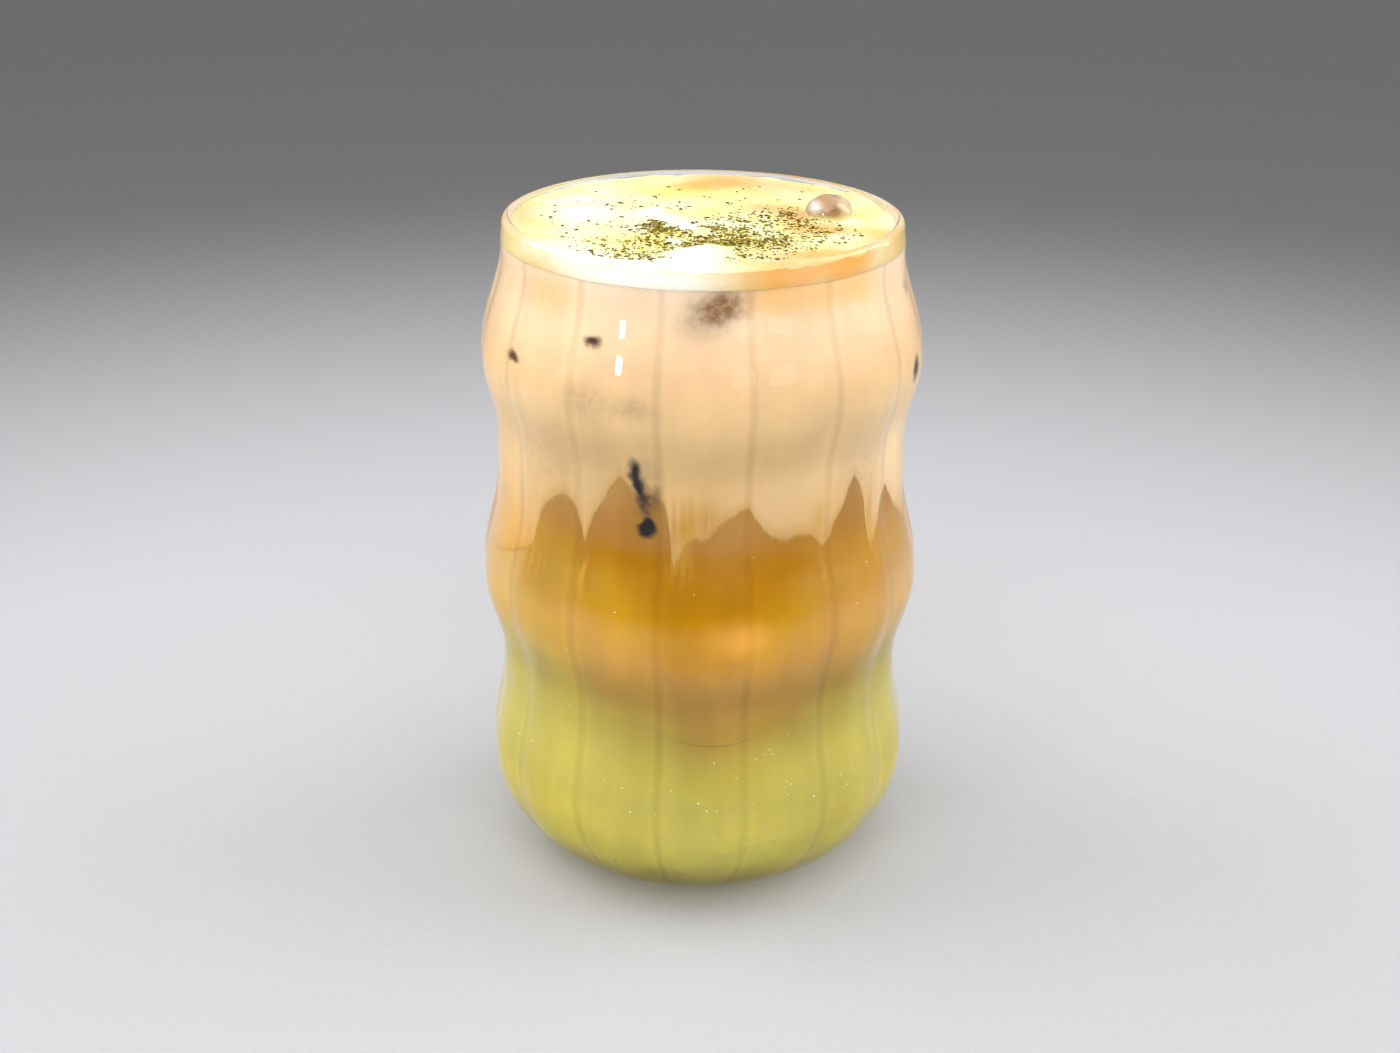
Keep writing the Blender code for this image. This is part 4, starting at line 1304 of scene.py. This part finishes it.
# Soft lights: name, degrees round from the front, degrees up, distance, width, height, watts
SOFT_LIGHTS = (
    ("overhead", -10, 80, 0.62, 0.5, 0.5, 0.9), ("front_fill", 0, 50, 0.9, 0.9, 0.46, 3.45),
    ("left_side", -100, 42, 0.62, 0.5, 0.4, 2.0), ("right_side", 100, 40, 0.62, 0.5, 0.4, 2.0),
    ("strip", -38, 15.5, 0.55, 0.05, 0.06, 0.26), ("window", 34, 12, 0.9, 0.34, 0.13, 0.15),
)

# Where the lights point
AIM = (0, 0, 0.07)

# The floor: how wide it is, how high it lies, and where its painted pool of light fades
FLOOR_SIZE = 8
FLOOR_HEIGHT = -0.0001
FLOOR_LIGHT_FALLOFF = (0.14, 0.6)


class LATTE_OT_stage(bpy.types.Operator):
    """Set the pale floor, the soft lights and the camera"""

    bl_idname = "latte.stage"
    bl_label = "Stage"

    def execute(self, context):
        settings = context.scene.latte_stage
        self.lay_floor(settings)
        for light in SOFT_LIGHTS:
            self.hang_light(*light)
        world = bpy.data.worlds.new("pale_surroundings")
        world.use_nodes = True
        tree = world.node_tree
        around = node(tree, "TexCoord").outputs["Generated"]
        towards = node(tree, "SeparateXYZ", {0: around}).outputs
        sky = blended(tree, ranged(tree, towards["Z"], 0.0, 0.4), settings.horizon, settings.sky)
        sky = blended(tree, ranged(tree, towards["Y"], -0.9, -0.1), settings.near_sky, sky)
        tree.links.new(sky, tree.nodes["Background"].inputs["Color"])
        context.scene.world = world
        context.scene.view_settings.view_transform = "Standard"
        camera = bpy.data.objects.new("camera", bpy.data.cameras.new("camera"))
        context.scene.collection.objects.link(camera)
        camera.location = settings.camera_place
        tilt = Matrix.Rotation(math.pi / 2 - settings.camera_pitch, 4, "X")
        camera.rotation_euler = (tilt @ Matrix.Rotation(settings.camera_roll, 4, "Z")).to_euler()
        camera.data.lens = settings.lens
        context.scene.camera = camera
        return {"FINISHED"}

    def hang_light(self, name, turn, rise, distance, width, height, watts):
        """A soft rectangular light that faces the glass."""
        light = bpy.data.lights.new(name, "AREA")
        light.shape = "RECTANGLE"
        light.size = width
        light.size_y = height
        light.energy = watts
        lamp = bpy.data.objects.new(name, light)
        bpy.context.scene.collection.objects.link(lamp)
        turn, rise = math.radians(turn), math.radians(rise)
        away = Vector(round_point(turn, math.cos(rise), math.sin(rise)))
        lamp.location = Vector(AIM) + away * distance
        lamp.rotation_euler = (-away).to_track_quat("-Z", "Y").to_euler()

    def lay_floor(self, settings):
        """A wide plain floor with a painted pool of light round the glass, fading away from it."""
        deselect_all()
        bpy.ops.mesh.primitive_plane_add(size=FLOOR_SIZE, location=(0, 0, FLOOR_HEIGHT))
        floor = bpy.context.object
        floor.name = "floor"
        material, tree, shader, place = new_finish("pale_floor")
        away = node(tree, "VectorMath", {0: place}, operation="LENGTH").outputs["Value"]
        colour = blended(tree, ranged(tree, away, *FLOOR_LIGHT_FALLOFF), settings.floor, settings.far_floor_shade)
        grain = noisy(tree, place, scale=900, detail=2.0)
        fill(tree, shader, {
            "Base Color": brightened(tree, colour, noise_from(tree, grain, 0.98, 1.02)),
            "Specular IOR Level": 0.3,
            "Roughness": noise_from(tree, grain, 0.45, 0.6),
        })
        floor.data.materials.append(material)


class LATTE_PT_panel(bpy.types.Panel):
    """Lists the pieces of the drink and what can be changed"""

    bl_idname = "LATTE_PT_panel"
    bl_label = "Iced matcha latte"
    bl_space_type = "VIEW_3D"
    bl_region_type = "UI"
    bl_category = "Latte"

    def draw(self, context):
        for operator in OPERATORS:
            self.layout.operator(operator.bl_idname)
        for name, group in SETTINGS:
            box = self.layout.box()
            box.label(text=group.__doc__)
            for prop in group.__annotations__:
                box.prop(getattr(context.scene, name), prop)


SETTINGS = (
    ("latte_tumbler", TumblerSettings),
    ("latte_drink", DrinkSettings),
    ("latte_foam", FoamSettings),
    ("latte_stage", StageSettings),
)
OPERATORS = (LATTE_OT_tumbler, LATTE_OT_drink, LATTE_OT_foam, LATTE_OT_powder, LATTE_OT_ice,
             LATTE_OT_bubbles, LATTE_OT_stage)


def register():
    """Add the settings, the operators and the panel to Blender."""
    for name, group in SETTINGS:
        bpy.utils.register_class(group)
        setattr(bpy.types.Scene, name, bpy.props.PointerProperty(type=group))
    for kind in (*OPERATORS, LATTE_PT_panel):
        bpy.utils.register_class(kind)


def unregister():
    """Take them out again."""
    for kind in reversed((*OPERATORS, LATTE_PT_panel)):
        bpy.utils.unregister_class(kind)
    for name, group in reversed(SETTINGS):
        delattr(bpy.types.Scene, name)
        bpy.utils.unregister_class(group)


def main():
    """Make every piece in order."""
    register()
    bpy.ops.latte.tumbler()
    bpy.ops.latte.drink()
    bpy.ops.latte.foam()
    bpy.ops.latte.powder()
    bpy.ops.latte.ice()
    bpy.ops.latte.bubbles()
    bpy.ops.latte.stage()


if __name__ == "__main__":
    main()
